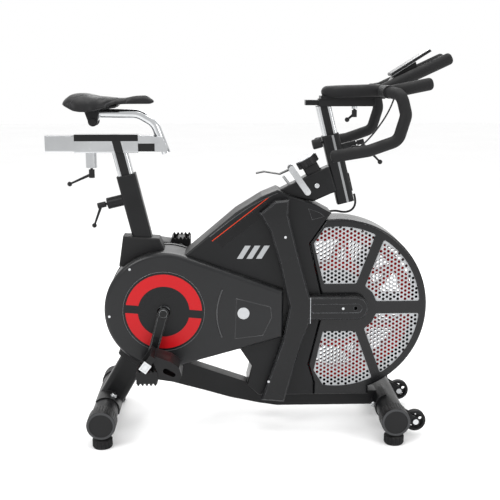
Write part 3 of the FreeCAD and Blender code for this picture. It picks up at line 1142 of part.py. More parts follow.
def make_handlebar():
    crossbar = crossbar_solid()
    add("bar_grips", crossbar, *large_pieces(loop_solid().cut(crossbar)))
    drop_points = [(412, -140, GRIP_Z + 4), (436, -216, GRIP_Z - 2), (449, -BAR_HALF_SPAN, 1020),
                   (428, -BAR_HALF_SPAN, 948), (345, -BAR_HALF_SPAN, 919), (234, -BAR_HALF_SPAN, 901)]
    low_horn = [(412, -143, GRIP_Z + 4), (446, -150, 1089), (541, -150, 1108)]
    for side in (RIGHT, LEFT):
        drop = swept(rounded_path(drop_points, 34.0), BAR_RADIUS)
        drop = round_ends(drop, 11.0, [drop_points[-1]])
        horn = swept(rounded_path(low_horn, 60.0), HORN_RADIUS - 0.5)
        horn = large_pieces(round_ends(horn, 12.0, [low_horn[-1]]).cut(crossbar))[0]
        drop = large_pieces(cut_all(drop, [crossbar, horn]))[0]
        add("bar_grips", on_side(drop, side), on_side(horn, side))

    tilt = math.radians(32.0)
    ux, uz = math.cos(tilt), math.sin(tilt)
    start = (441.0, 1131.0)

    def slab(first, last, low, high, half):
        points = [(start[0] + ux * s - uz * o, start[1] + uz * s + ux * o)
                  for s, o in ((first, low), (last, low), (last, high), (first, high))]
        return prism(points, -half, half)

    add("console", slab(0, 138, -4, 3, 34))
    add("console", slab(2, 136, 3, 5, 32))
    bracket = prism([(424, 1094), (444, 1090), (520, 1150), (516, 1170), (455, 1131), (440, 1112)], -24, 24)
    bracket = cut_all(bracket, [slab(0, 138, -6, 40, 90), crossbar])
    add("bar_rail", max(bracket.Solids, key=lambda s: s.Volume))

    cable = [(462, -14, 1100), (455, -22, 1044), (380, -30, 934), (348, -32, 912)]
    lead = swept(rounded_path(cable, 30.0), 2.5).cut(bracket)
    add("console_cable", max(lead.Solids, key=lambda s: s.Volume))
    plug = block((322, -38, 903), (349, -26, 917))
    add("sensor_cable", plug.cut(swept(rounded_path(cable, 30.0), 2.8)))


def make_sensor_cable():
    strip = aim(section_bar(4, 16, 58, 1.5), along(HEAD_FOOT, HEAD_UP, 30, HEAD_DEPTH / 2 + 2), HEAD_UP)
    add("sensor_cable", strip.cut(head_outer()))
    route = [(338.5, -4, 762), (346, -6, 738), (336, -9, 712), (310, -12, 703), (272, -14, 712), (252, -14, 705)]
    lead = swept(rounded_path(route, 18.0), 3.5)
    lead = cut_all(lead, [strip, head_outer(0.2), body_block(0, -BODY_HALF, BODY_HALF)])
    add("sensor_cable", max(lead.Solids, key=lambda s: s.Volume))


make_frame()
post_bush(SEAT_TUBE_DEPTH - 2 * TUBE_WALL, SEAT_TUBE_WIDTH - 2 * TUBE_WALL, SEAT_POST_DEPTH, SEAT_POST_WIDTH,
          SEAT_TUBE_TOP, SEAT_UP, "tube_fittings", [seat_pin_hole()])
post_bush(HEAD_DEPTH - 2 * TUBE_WALL, HEAD_WIDTH - 2 * TUBE_WALL, BAR_POST_DEPTH, BAR_POST_WIDTH,
          HEAD_TOP, HEAD_UP, "tube_fittings", [bar_pin_hole(), bar_boss_hole()])
make_stands()
make_feet()
make_wheels()
make_crank()
make_pedals()
make_belt()
make_fan()
make_magnets()
make_fork()
make_body_shells()
make_belt_covers()
make_pillars()
make_grilles()
make_trim()
make_controls()
make_seat()
make_saddle()
make_bar_post()
make_handlebar()
make_sensor_cable()
write_sub_parts()
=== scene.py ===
# %% [markdown]
# # Indoor air bike
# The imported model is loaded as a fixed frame. This script gives every piece its
# material, replaces the soft pieces with better ones, and adds the trim lines.

# %% Load the frame
import math
import bpy
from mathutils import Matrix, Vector


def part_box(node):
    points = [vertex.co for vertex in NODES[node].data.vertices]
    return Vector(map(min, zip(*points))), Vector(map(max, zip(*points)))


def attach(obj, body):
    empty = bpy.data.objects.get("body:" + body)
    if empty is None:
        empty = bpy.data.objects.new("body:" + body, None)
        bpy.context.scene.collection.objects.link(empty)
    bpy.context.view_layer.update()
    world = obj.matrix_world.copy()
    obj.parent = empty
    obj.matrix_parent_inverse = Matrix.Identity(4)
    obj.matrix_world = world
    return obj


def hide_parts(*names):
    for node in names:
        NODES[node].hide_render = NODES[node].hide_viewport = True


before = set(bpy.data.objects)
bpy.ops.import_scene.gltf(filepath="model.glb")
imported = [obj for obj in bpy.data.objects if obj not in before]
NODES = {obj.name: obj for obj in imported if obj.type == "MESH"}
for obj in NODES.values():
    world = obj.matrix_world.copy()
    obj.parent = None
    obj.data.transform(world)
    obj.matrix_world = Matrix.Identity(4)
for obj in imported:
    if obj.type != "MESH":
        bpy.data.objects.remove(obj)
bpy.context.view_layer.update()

scene = bpy.context.scene
print("nodes:", len(NODES))

# %% [markdown]
# ## Measurements
# Every place below is in metres, read from the boxes of the loaded pieces.

# %% Measurements
COVER_FACE = -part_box("belt_cover_right")[0].y
BODY_FACE = -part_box("body_shell_right")[0].y
PILLAR_FACE = -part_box("pillar_covers")[0].y
saddle_low, saddle_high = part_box("saddle_pad")
disc_low, disc_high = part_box("cover_discs")
CRANK = Vector(((disc_low.x + disc_high.x) / 2, 0.0, (disc_low.z + disc_high.z) / 2))
print("crank", CRANK, "faces", COVER_FACE, BODY_FACE, PILLAR_FACE)

# %% [markdown]
# ## Small helpers
# These select one piece, finish it, and make tubes along smooth or straight lines.


# %% Helpers
def alone(piece):
    """Select only this piece and make it active."""
    bpy.ops.object.select_all(action="DESELECT")
    piece.select_set(True)
    bpy.context.view_layer.objects.active = piece


def finished(piece, name, material, body):
    """Name a new piece, give it its material, and tie it to its body."""
    piece.name = name
    piece.data.name = name
    piece.data.materials.clear()
    piece.data.materials.append(material)
    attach(piece, body)
    return piece


def line_curve(name, points, radius, kind="NURBS", closed=False, depth=3):
    """A round bevelled curve through or near the points, left as a curve."""
    data = bpy.data.curves.new(name, "CURVE")
    data.dimensions = "3D"
    data.bevel_depth = radius
    data.bevel_resolution = depth
    data.use_fill_caps = True
    data.resolution_u = 12
    spline = data.splines.new(kind)
    spline.points.add(len(points) - 1)
    for place, point in zip(spline.points, points):
        place.co = (*point, 1.0)
    spline.use_cyclic_u = closed
    if kind == "NURBS":
        spline.order_u = 3
        spline.use_endpoint_u = not closed
    piece = bpy.data.objects.new(name, data)
    scene.collection.objects.link(piece)
    return piece


def as_mesh(piece):
    """Turn a curve into a smooth mesh."""
    alone(piece)
    bpy.ops.object.convert(target="MESH")
    piece = bpy.context.object
    alone(piece)
    bpy.ops.object.shade_smooth_by_angle(angle=math.radians(40))
    return piece


def inside(points):
    """Points given as (x, z) in millimetres, as pairs in metres."""
    return [(x / 1000, z / 1000) for x, z in points]


print("helpers ready")

# %% [markdown]
# ## Shared surface effects
# Each effect is a node group that gives masks, heights or normals.
# The materials feed them into their own shader.


# %% Effect groups
def new_group(name, inputs, outputs):
    group = bpy.data.node_groups.new(name, "ShaderNodeTree")
    for label, kind in inputs:
        group.interface.new_socket(name=label, in_out="INPUT", socket_type="NodeSocket" + kind)
    for label, kind in outputs:
        group.interface.new_socket(name=label, in_out="OUTPUT", socket_type="NodeSocket" + kind)
    first = group.nodes.new("NodeGroupInput")
    last = group.nodes.new("NodeGroupOutput")
    return group, first, last


def math_node(tree, operation, a, b=None, clamp=False):
    """A maths node whose inputs are sockets or plain numbers."""
    node = tree.nodes.new("ShaderNodeMath")
    node.operation = operation
    node.use_clamp = clamp
    for index, value in enumerate((a, b)):
        if value is None:
            continue
        if isinstance(value, (int, float)):
            node.inputs[index].default_value = value
        else:
            tree.links.new(value, node.inputs[index])
    return node.outputs[0]


def noise(tree, vector, scale, detail=3.0, rough=0.55):
    node = tree.nodes.new("ShaderNodeTexNoise")
    node.inputs["Detail"].default_value = detail
    node.inputs["Roughness"].default_value = rough
    if isinstance(scale, (int, float)):
        node.inputs["Scale"].default_value = scale
    else:
        tree.links.new(scale, node.inputs["Scale"])
    tree.links.new(vector, node.inputs["Vector"])
    return node.outputs["Fac"]


def ramp(tree, value, low, high, to_low=0.0, to_high=1.0):
    node = tree.nodes.new("ShaderNodeMapRange")
    node.inputs["From Min"].default_value = low
    node.inputs["From Max"].default_value = high
    node.inputs["To Min"].default_value = to_low
    node.inputs["To Max"].default_value = to_high
    tree.links.new(value, node.inputs["Value"])
    return node.outputs["Result"]


def make_grain():
    group, first, last = new_group("moulded_grain", [("Vector", "Vector"), ("Scale", "Float")],
                                   [("Height", "Float"), ("Mottle", "Float"), ("Fleck", "Float")])
    fine = noise(group, first.outputs["Vector"], first.outputs["Scale"], 4.0, 0.6)
    broad = noise(group, first.outputs["Vector"], 9.0, 3.0)
    half = math_node(group, "MULTIPLY", first.outputs["Scale"], 0.31)
    fleck = noise(group, first.outputs["Vector"], half, 1.0)
    group.links.new(fine, last.inputs["Height"])
    group.links.new(ramp(group, broad, 0.36, 0.64), last.inputs["Mottle"])
    group.links.new(ramp(group, fleck, 0.66, 0.72), last.inputs["Fleck"])
    return group


def make_edges():
    group, first, last = new_group("rounded_edges", [("Vector", "Vector"), ("Radius", "Float")],
                                   [("WearAndSheen", "Float"), ("Normal", "Vector")])
    bevel = group.nodes.new("ShaderNodeBevel")
    bevel.samples = 4
    group.links.new(first.outputs["Radius"], bevel.inputs["Radius"])
    true = group.nodes.new("ShaderNodeNewGeometry")
    dot = group.nodes.new("ShaderNodeVectorMath")
    dot.operation = "DOT_PRODUCT"
    group.links.new(bevel.outputs["Normal"], dot.inputs[0])
    group.links.new(true.outputs["Normal"], dot.inputs[1])
    turned = math_node(group, "SUBTRACT", 1.0, dot.outputs["Value"], clamp=True)
    edge = ramp(group, turned, 0.02, 0.2)
    broken = ramp(group, noise(group, first.outputs["Vector"], 60.0), 0.35, 0.6, 0.45, 1.0)
    group.links.new(math_node(group, "MULTIPLY", edge, broken), last.inputs["WearAndSheen"])
    group.links.new(bevel.outputs["Normal"], last.inputs["Normal"])
    return group


def make_dust():
    group, first, last = new_group("settled_dust", [("Vector", "Vector")], [("Dust", "Float")])
    true = group.nodes.new("ShaderNodeNewGeometry")
    parts = group.nodes.new("ShaderNodeSeparateXYZ")
    group.links.new(true.outputs["Normal"], parts.inputs["Vector"])
    upward = ramp(group, parts.outputs["Z"], 0.35, 1.0)
    patch = ramp(group, noise(group, first.outputs["Vector"], 35.0, 5.0), 0.4, 0.7)
    group.links.new(math_node(group, "MULTIPLY", upward, patch), last.inputs["Dust"])
    return group


def make_stripe():
    """One inside a slab between two planes across the given direction."""
    group, first, last = new_group(
        "slab_mask", [("Vector", "Vector"), ("Point", "Vector"), ("Across", "Vector"), ("Half", "Float")],
        [("Mask", "Float")])
    away = group.nodes.new("ShaderNodeVectorMath")
    away.operation = "SUBTRACT"
    group.links.new(first.outputs["Vector"], away.inputs[0])
    group.links.new(first.outputs["Point"], away.inputs[1])
    dot = group.nodes.new("ShaderNodeVectorMath")
    dot.operation = "DOT_PRODUCT"
    group.links.new(away.outputs["Vector"], dot.inputs[0])
    group.links.new(first.outputs["Across"], dot.inputs[1])
    size = math_node(group, "ABSOLUTE", dot.outputs["Value"])
    near = math_node(group, "LESS_THAN", size, first.outputs["Half"])
    group.links.new(near, last.inputs["Mask"])
    return group


def make_ring():
    """One between two radii round a line along Y."""
    group, first, last = new_group(
        "ring_mask", [("Vector", "Vector"), ("Centre", "Vector"), ("Inner", "Float"), ("Outer", "Float")],
        [("Mask", "Float")])
    away = group.nodes.new("ShaderNodeVectorMath")
    away.operation = "SUBTRACT"
    group.links.new(first.outputs["Vector"], away.inputs[0])
    group.links.new(first.outputs["Centre"], away.inputs[1])
    flat = group.nodes.new("ShaderNodeVectorMath")
    flat.operation = "MULTIPLY"
    flat.inputs[1].default_value = (1, 0, 1)
    group.links.new(away.outputs["Vector"], flat.inputs[0])
    size = group.nodes.new("ShaderNodeVectorMath")
    size.operation = "LENGTH"
    group.links.new(flat.outputs["Vector"], size.inputs[0])
    outside = math_node(group, "GREATER_THAN", size.outputs["Value"], first.outputs["Inner"])
    within = math_node(group, "LESS_THAN", size.outputs["Value"], first.outputs["Outer"])
    group.links.new(math_node(group, "MULTIPLY", outside, within), last.inputs["Mask"])
    return group


GRAIN, EDGES, DUST, STRIPE, RING = make_grain(), make_edges(), make_dust(), make_stripe(), make_ring()
print("groups:", [g.name for g in bpy.data.node_groups])

# %% [markdown]
# ## Materials
# A surface has its own grain, slow colour variation, lighter edges (wear, and on glossy pieces a painted
# highlight) and a little dust.
# `overlay` paints a second finish over part of it through a mask.


# %% Material builder
def use(tree, group, **values):
    """Put a group into a tree and set or link its inputs."""
    node = tree.nodes.new("ShaderNodeGroup")
    node.node_tree = group
    for label, value in values.items():
        if isinstance(value, bpy.types.NodeSocket):
            tree.links.new(value, node.inputs[label])
        else:
            node.inputs[label].default_value = value
    return node


def blend_colour(tree, factor, first, second):
    """Mix two colours, each a socket or three numbers."""
    node = tree.nodes.new("ShaderNodeMix")
    node.data_type = "RGBA"
    tree.links.new(factor, node.inputs["Factor"])
    for socket, value in ((node.inputs[6], first), (node.inputs[7], second)):
        if isinstance(value, bpy.types.NodeSocket):
            tree.links.new(value, socket)
        else:
            socket.default_value = (*value, 1.0)
    return node.outputs[2]


def shade(colour, amount):
    return tuple(min(1.0, channel * amount) for channel in colour)


def surface(name, colour, rough, metal=0.0, grain=900.0, bump=0.15, mottle=0.12, edge_wear_and_sheen=0.3,
            edge_wear_and_sheen_colour=(0.16, 0.165, 0.17), dust=0.03, coat=0.0, edge=0.0012, specular=0.2):
    """A material with grain, mottling, rounded edges lightened by wear and on some pieces by a painted
    highlight, and dust.
    """
    material = bpy.data.materials.new(name)
    material.use_nodes = True
    tree = material.node_tree
    shader = tree.nodes["Principled BSDF"]
    place = tree.nodes.new("ShaderNodeTexCoord").outputs["Object"]
    grains = use(tree, GRAIN, Vector=place, Scale=grain)
    edges = use(tree, EDGES, Vector=place, Radius=edge)
    settled = use(tree, DUST, Vector=place)
    base = blend_colour(tree, grains.outputs["Mottle"], shade(colour, 1 - mottle), shade(colour, 1 + mottle))
    flecks = math_node(tree, "MULTIPLY", grains.outputs["Fleck"], 0.25)
    base = blend_colour(tree, flecks, base, shade(colour, 1.6))
    # Lighter edges: real wear on most pieces, a painted highlight of the glossy bevels on the pillar covers.
    edge_wear_and_sheen_mix = math_node(tree, "MULTIPLY", edges.outputs["WearAndSheen"], edge_wear_and_sheen)
    base = blend_colour(tree, edge_wear_and_sheen_mix, base, edge_wear_and_sheen_colour)
    dusty = math_node(tree, "MULTIPLY", settled.outputs["Dust"], dust)
    base = blend_colour(tree, dusty, base, (0.55, 0.54, 0.52))
    tree.links.new(base, shader.inputs["Base Color"])
    gloss = ramp(tree, grains.outputs["Mottle"], 0.0, 1.0, rough * 0.85, min(1.0, rough * 1.15))
    gloss = math_node(tree, "ADD", gloss, math_node(tree, "MULTIPLY", dusty, 0.6), clamp=True)
    tree.links.new(gloss, shader.inputs["Roughness"])
    shader.inputs["Metallic"].default_value = metal
    shader.inputs["Coat Weight"].default_value = coat
    shader.inputs["Specular IOR Level"].default_value = specular
    shader.inputs["Coat Roughness"].default_value = 0.12
    relief = tree.nodes.new("ShaderNodeBump")
    relief.inputs["Strength"].default_value = bump
    relief.inputs["Distance"].default_value = 0.0006
    tree.links.new(grains.outputs["Height"], relief.inputs["Height"])
    tree.links.new(edges.outputs["Normal"], relief.inputs["Normal"])
    tree.links.new(relief.outputs["Normal"], shader.inputs["Normal"])
    return material


def place_of(material):
    """The Object coordinates socket of a material."""
    for node in material.node_tree.nodes:
        if node.type == "TEX_COORD":
            return node.outputs["Object"]


def slab(material, point, across, half):
    """Mask of a slab, one between two planes."""
    node = use(material.node_tree, STRIPE, Vector=place_of(material), Point=point, Across=across, Half=half)
    return node.outputs["Mask"]


def beyond(material, height):
    """Mask of everything further from the centre plane than the height."""
    near = slab(material, (0, 0, 0), (0, 1, 0), height)
    return math_node(material.node_tree, "SUBTRACT", 1.0, near)


def ring(material, centre, inner, outer):
    node = use(material.node_tree, RING, Vector=place_of(material), Centre=centre, Inner=inner, Outer=outer)
    return node.outputs["Mask"]


def both(material, first, second):
    return math_node(material.node_tree, "MULTIPLY", first, second)


def overlay(material, mask, colour, rough, metal=0.0):
    """Paint another finish where the mask is one."""
    tree = material.node_tree
    shader = tree.nodes["Principled BSDF"]
    base = shader.inputs["Base Color"].links[0].from_socket
    tree.links.new(blend_colour(tree, mask, base, colour), shader.inputs["Base Color"])
    for label, value in (("Roughness", rough), ("Metallic", metal)):
        socket = shader.inputs[label]
        node = tree.nodes.new("ShaderNodeMix")
        tree.links.new(mask, node.inputs["Factor"])
        node.inputs[3].default_value = value
        if socket.links:
            tree.links.new(socket.links[0].from_socket, node.inputs[2])
        else:
            node.inputs[2].default_value = socket.default_value
        tree.links.new(node.outputs[0], socket)
    return material


print("builder ready")

# %% [markdown]
# ## Finishes of the plastics, rubber and metals

# %% Plain finishes
BLACK = (0.0055, 0.0057, 0.0062)
CHARCOAL = (0.0085, 0.0088, 0.0096)
SATIN_BLACK = (0.008, 0.008, 0.0085)      # plain plastics, rubber, black sleeves, and the painted dark reflection stripes on chrome
shell_black = surface("body_shell_black", (0.006, 0.0062, 0.0068), 0.36, grain=1100, bump=0.12)
cover_charcoal = surface("belt_cover_charcoal", CHARCOAL, 0.34, grain=1000, bump=0.10, edge=0.003,
                         edge_wear_and_sheen=0.28, edge_wear_and_sheen_colour=(0.14, 0.145, 0.15), specular=0.28)
cage_gloss = surface("fan_cage_gloss_black", (0.005, 0.0052, 0.0058), 0.2, grain=600, bump=0.04, specular=0.3,
                     edge=0.003, edge_wear_and_sheen=0.3, edge_wear_and_sheen_colour=(0.12, 0.125, 0.13))
# Painted highlight: the light grey edge colour stands in for the shine on the pillar covers' glossy bevels.
pillar_black = surface("pillar_cover_black", (0.006, 0.0062, 0.0068), 0.27, grain=900, bump=0.08,
                       specular=0.25, edge=0.0022, edge_wear_and_sheen=0.55, edge_wear_and_sheen_colour=(0.30, 0.31, 0.33))
frame_paint = surface("powder_coated_frame", BLACK, 0.4, grain=1500, bump=0.35, mottle=0.18, edge=0.002,
                      edge_wear_and_sheen=0.2, edge_wear_and_sheen_colour=(0.2, 0.2, 0.21))
trim_black = surface("trim_black_plastic", SATIN_BLACK, 0.5, grain=1300, bump=0.25)
fan_red = surface("fan_red_plastic", (0.42, 0.006, 0.006), 0.38, grain=900, bump=0.08, mottle=0.1,
                  edge_wear_and_sheen=0.2, edge_wear_and_sheen_colour=(0.45, 0.03, 0.02), specular=0.1, dust=0.0)
grille_metal = surface("perforated_grille_paint", (0.36, 0.37, 0.38), 0.45, metal=0.1, grain=1600, bump=0.1,
                       mottle=0.08, edge_wear_and_sheen=0.2, edge_wear_and_sheen_colour=(0.6, 0.6, 0.6), edge=0.0004, dust=0.0)
chrome = surface("chromed_tube", (0.50, 0.51, 0.52), 0.14, metal=1.0, grain=500, bump=0.03, mottle=0.05,
                 edge_wear_and_sheen=0.1, edge_wear_and_sheen_colour=(0.9, 0.9, 0.9), dust=0.04, edge=0.0015)
steel = surface("zinc_plated_steel", (0.52, 0.53, 0.54), 0.3, metal=1.0, grain=1200, bump=0.12, mottle=0.15,
                edge_wear_and_sheen=0.2, edge_wear_and_sheen_colour=(0.75, 0.75, 0.75), edge=0.0006)
iron = surface("cast_iron_rotor", (0.10, 0.10, 0.105), 0.5, metal=0.8, grain=450, bump=0.4, mottle=0.25)
aluminium = surface("brushed_aluminium", (0.60, 0.61, 0.62), 0.32, metal=1.0, grain=900, bump=0.1)
crank_black = surface("crank_arm_black", (0.006, 0.0063, 0.0066), 0.3, grain=1100, bump=0.12, edge=0.0026,
                      edge_wear_and_sheen=0.9, edge_wear_and_sheen_colour=(0.35, 0.36, 0.37))
foot_rubber = surface("levelling_foot_rubber", SATIN_BLACK, 0.75, grain=700, bump=0.5, dust=0.08)
wheel_rubber = surface("transport_wheel_rubber", SATIN_BLACK, 0.65, grain=800, bump=0.4, dust=0.06)
belt_rubber = surface("drive_belt_rubber", (0.018, 0.018, 0.018), 0.7, grain=900, bump=0.4)
grip_foam = surface("handlebar_grip_foam", (0.0075, 0.0075, 0.008), 0.66, grain=1900, bump=0.7, mottle=0.2,
                    edge_wear_and_sheen=0.12, dust=0.04)
cable_black = surface("cable_sleeve_black", (0.007, 0.007, 0.0075), 0.42, grain=1200, bump=0.15)
# Silver for the painted highlight line along the pillar covers' glossy front edge.
pillar_highlight_silver = surface("pillar_edge_highlight_silver", (0.42, 0.43, 0.45), 0.28, metal=0.7, grain=800, bump=0.05)
ridge_black = surface("cover_ridge_black", (0.018, 0.0185, 0.02), 0.25, grain=900, bump=0.06, specular=0.6)
print("plain materials:", len(bpy.data.materials))

# %% [markdown]
# ## Finishes with a second colour
# The disc rings, the side stripe, the tube stripes (a painted dark reflection on the chrome posts and rail),
# the knob rim, the console face and the buckles are painted through masks that follow each piece's own place.

# %% Two-tone finishes
disc_paint = surface("pedal_disc_black", (0.006, 0.0062, 0.0068), 0.3, grain=900, bump=0.08)
RING_INNER, RING_OUTER = 0.080, 0.1205      # radii of the red inlays
RIM_INNER, RIM_OUTER = 0.1272, 0.130        # bright line round the disc
raised = beyond(disc_paint, disc_high.y - 0.0007)
red_inlay = both(disc_paint, ring(disc_paint, CRANK, RING_INNER, RING_OUTER), raised)
overlay(disc_paint, red_inlay, (0.40, 0.006, 0.009), 0.3)
overlay(disc_paint, ring(disc_paint, CRANK, RIM_INNER, RIM_OUTER), (0.20, 0.205, 0.21), 0.25, 0.6)

UPWARD = (0, 0, 1)
ACROSS = Vector((0.613, 0.0, -0.790))      # down across the spine
SPINE_TOP = Vector((-0.130, 0.0, 0.634))
side_paint = surface("side_trim_paint", (0.004, 0.004, 0.0045), 0.22, grain=900, bump=0.05)
overlay(side_paint, slab(side_paint, SPINE_TOP + ACROSS * 0.02, ACROSS, 0.0024), (0.50, 0.035, 0.008), 0.4)
BARS_HEIGHT = (0, 0, 0.587)      # middle of the three slanted bars
overlay(side_paint, slab(side_paint, BARS_HEIGHT, UPWARD, 0.0225), (0.004, 0.004, 0.0045), 0.22)
bars = both(side_paint, beyond(side_paint, BODY_FACE + 0.0012), slab(side_paint, BARS_HEIGHT, UPWARD, 0.022))
overlay(side_paint, bars, (0.36, 0.37, 0.38), 0.3, 0.8)
overlay(side_paint, beyond(side_paint, COVER_FACE + 0.0004), (0.42, 0.43, 0.44), 0.4)

SEAT_LEAN, HEAD_LEAN = math.radians(13.4), math.radians(14.1)
SEAT_ACROSS = Vector((math.cos(SEAT_LEAN), 0, math.sin(SEAT_LEAN)))
HEAD_ACROSS = Vector((math.cos(HEAD_LEAN), 0, math.sin(HEAD_LEAN)))
SEAT_TOP = Vector((-0.3777, 0, 0.8223))
HEAD_TOP = Vector((0.259, 0, 0.946))


def tube_stripe(material, top, across, half, out, colour, rough, metal=0.0):
    """A stripe along both side faces of a leaning tube."""
    mask = both(material, slab(material, top, across, half), beyond(material, out))
    return overlay(material, mask, colour, rough, metal)


seat_chrome = chrome.copy()
seat_chrome.name = "seat_post_chrome"
# Painted reflection: the dark stripe on the seat post's flat side faces stands in for dark surroundings
# mirrored in the chrome.
tube_stripe(seat_chrome, SEAT_TOP, SEAT_ACROSS, 0.013, 0.0165, SATIN_BLACK, 0.35)
SLEEVE_BAND = (0, 0, 0.9445)     # middle of the seat sleeve's dark upper half
sleeve_band = both(seat_chrome, slab(seat_chrome, SLEEVE_BAND, UPWARD, 0.0135), beyond(seat_chrome, 0.0206))
overlay(seat_chrome, sleeve_band, (0.007, 0.007, 0.0075), 0.3)
bar_chrome = chrome.copy()
bar_chrome.name = "bar_post_chrome"
# Painted reflection: the dark stripe on the bar post's flat side faces stands in for dark surroundings
# mirrored in the chrome.
tube_stripe(bar_chrome, HEAD_TOP, HEAD_ACROSS, 0.011, 0.0155, SATIN_BLACK, 0.35)
BAR_SLEEVE = (0, 0, 1.076)       # the bar post's sleeve, above the tube
overlay(bar_chrome, slab(bar_chrome, BAR_SLEEVE, UPWARD, 0.041), SATIN_BLACK, 0.35)
rail_chrome = chrome.copy()
rail_chrome.name = "seat_rail_chrome"
RAIL_FRONT, RAIL_LOW = (-0.312, 0, 0), (0, 0, 0.911)
# Painted reflection: the dark patch on the rail end's side faces stands in for dark surroundings mirrored in
# the chrome.
rail_end = both(rail_chrome, slab(rail_chrome, RAIL_FRONT, (1, 0, 0), 0.026), beyond(rail_chrome, 0.0195))
rail_side = both(rail_chrome, rail_end, slab(rail_chrome, RAIL_LOW, UPWARD, 0.0125))
overlay(rail_chrome, rail_side, SATIN_BLACK, 0.35)
head_paint = frame_paint.copy()
head_paint.name = "head_tube_paint"
HEAD_STRIPE = HEAD_TOP + HEAD_ACROSS * 0.006
tube_stripe(head_paint, HEAD_STRIPE, HEAD_ACROSS, 0.0035, 0.021, (0.25, 0.255, 0.26), 0.3, 0.6)

knob_paint = surface("resistance_knob_black", SATIN_BLACK, 0.4, grain=1300, bump=0.2, edge=0.001)
KNOB_BASE, KNOB_AXIS = Vector((0.220, 0, 0.812)), Vector((-0.5, 0, 0.866))
knob_rim = slab(knob_paint, KNOB_BASE + KNOB_AXIS * 0.076, KNOB_AXIS, 0.0028)
overlay(knob_paint, knob_rim, (0.6, 0.61, 0.63), 0.22, 0.9)
cap_grey = surface("end_cap_black", SATIN_BLACK, 0.45, grain=900, bump=0.25, dust=0.05)
CAP_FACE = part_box("stabiliser_end_caps")[1].y
overlay(cap_grey, beyond(cap_grey, CAP_FACE - 0.0012), (0.04, 0.041, 0.043), 0.4)
cage_strap = surface("toe_cage_black", SATIN_BLACK, 0.45, grain=900, bump=0.3)
overlay(cage_strap, beyond(cage_strap, 0.2256), (0.55, 0.56, 0.57), 0.4)
pedal_black = surface("pedal_body_black", SATIN_BLACK, 0.5, grain=1000, bump=0.3)
console_paint = surface("console_black", (0.007, 0.007, 0.0075), 0.3, grain=900, bump=0.06)
CONSOLE_UP = Vector((-math.sin(math.radians(32)), 0, math.cos(math.radians(32))))
CONSOLE_START = Vector((0.441, 0, 1.131))
overlay(console_paint, slab(console_paint, CONSOLE_START + CONSOLE_UP * 0.0044, CONSOLE_UP, 0.0012),
        (0.02, 0.022, 0.025), 0.1)
overlay(console_paint, slab(console_paint, CONSOLE_START - CONSOLE_UP * 0.0042, CONSOLE_UP, 0.001),
        (0.45, 0.46, 0.47), 0.35)
print("materials:", len(bpy.data.materials))

# %% [markdown]
# ## Giving every carried-over piece its finish

# %% Assign materials
FINISH = {
    "rear_leg": frame_paint, "bottom_rail": frame_paint, "seat_tube": frame_paint, "spine_tube": frame_paint,
    "neck_gusset": frame_paint, "head_tube": head_paint, "tube_fittings": trim_black, "crank_shell": steel,
    "fan_fork": frame_paint, "fixed_pins": steel, "rear_stabiliser": frame_paint,
    "front_stabiliser": frame_paint, "stabiliser_end_caps": cap_grey, "fasteners": steel,
    "wheel_brackets": frame_paint, "body_shell_right": shell_black, "body_shell_left": shell_black,
    "belt_cover_right": cover_charcoal, "belt_cover_left": cover_charcoal, "cover_discs": disc_paint,
    "pillar_covers": pillar_black, "cage_shell_right": cage_gloss, "cage_shell_left": cage_gloss,
    "grilles": grille_metal, "tube_boots": trim_black, "side_trim": side_paint, "drive_belt": belt_rubber,
    "knob_holder": trim_black, "brake_bracket": steel, "crank_axle": steel, "crank_arms": crank_black,
    "pedal_right": pedal_black, "pedal_left": pedal_black, "toe_cage_right": cage_strap,
    "toe_cage_left": cage_strap, "fan_wheel": fan_red, "fan_rotor": iron, "magnet_carrier": aluminium,
    "resistance_knob": knob_paint, "brake_lever": trim_black, "seat_post": seat_chrome,
    "seat_pin_lever": trim_black, "seat_slide_lever": trim_black, "seat_rail": rail_chrome,
    "saddle_base": frame_paint, "bar_post": bar_chrome, "bar_clamp_lever": trim_black,
    "bar_slide_lever": trim_black, "bar_rail": frame_paint, "bar_grips": grip_foam,
    "console": console_paint, "transport_wheel_right": wheel_rubber, "transport_wheel_left": wheel_rubber,
    "foot_rear_right": foot_rubber, "foot_rear_left": foot_rubber, "foot_front_right": foot_rubber,
    "foot_front_left": foot_rubber,
}
for name, piece in NODES.items():
    material = FINISH.get(name, trim_black)
    for slot in piece.material_slots:
        slot.material = material
    if not piece.material_slots:
        piece.data.materials.append(material)
print("finished:", len(FINISH), "left on trim:", sorted(set(NODES) - set(FINISH)))

# %% [markdown]
# ## Saddle
# A closed pad with a wide back and a narrow nose, blown up by a short cloth run, then
# given its diagonal sewn channels.

# %% Saddle shape
SADDLE_PLAN = inside([(-562, 60), (-548, 96), (-515, 105), (-480, 98), (-440, 66), (-400, 40), (-350, 28),
                      (-300, 24), (-281, 14)])
SADDLE_TOP = inside([(-562, 1048), (-556, 1064), (-530, 1079), (-500, 1080), (-440, 1069), (-380, 1066),
                     (-335, 1073), (-310, 1074), (-290, 1062), (-281, 1050)])
SADDLE_BOTTOM = inside([(-562, 1044), (-520, 1030), (-470, 1032), (-420, 1036), (-380, 1042), (-300, 1042),
                        (-281, 1048)])


def between(table, x):
    """Value at x on a line drawn through the table's points."""
    for (x0, v0), (x1, v1) in zip(table, table[1:]):
        if x <= x1:
            t = max(0.0, (x - x0) / (x1 - x0))
            t = t * t * (3 - 2 * t)
            return v0 + (v1 - v0) * t
    return table[-1][1]


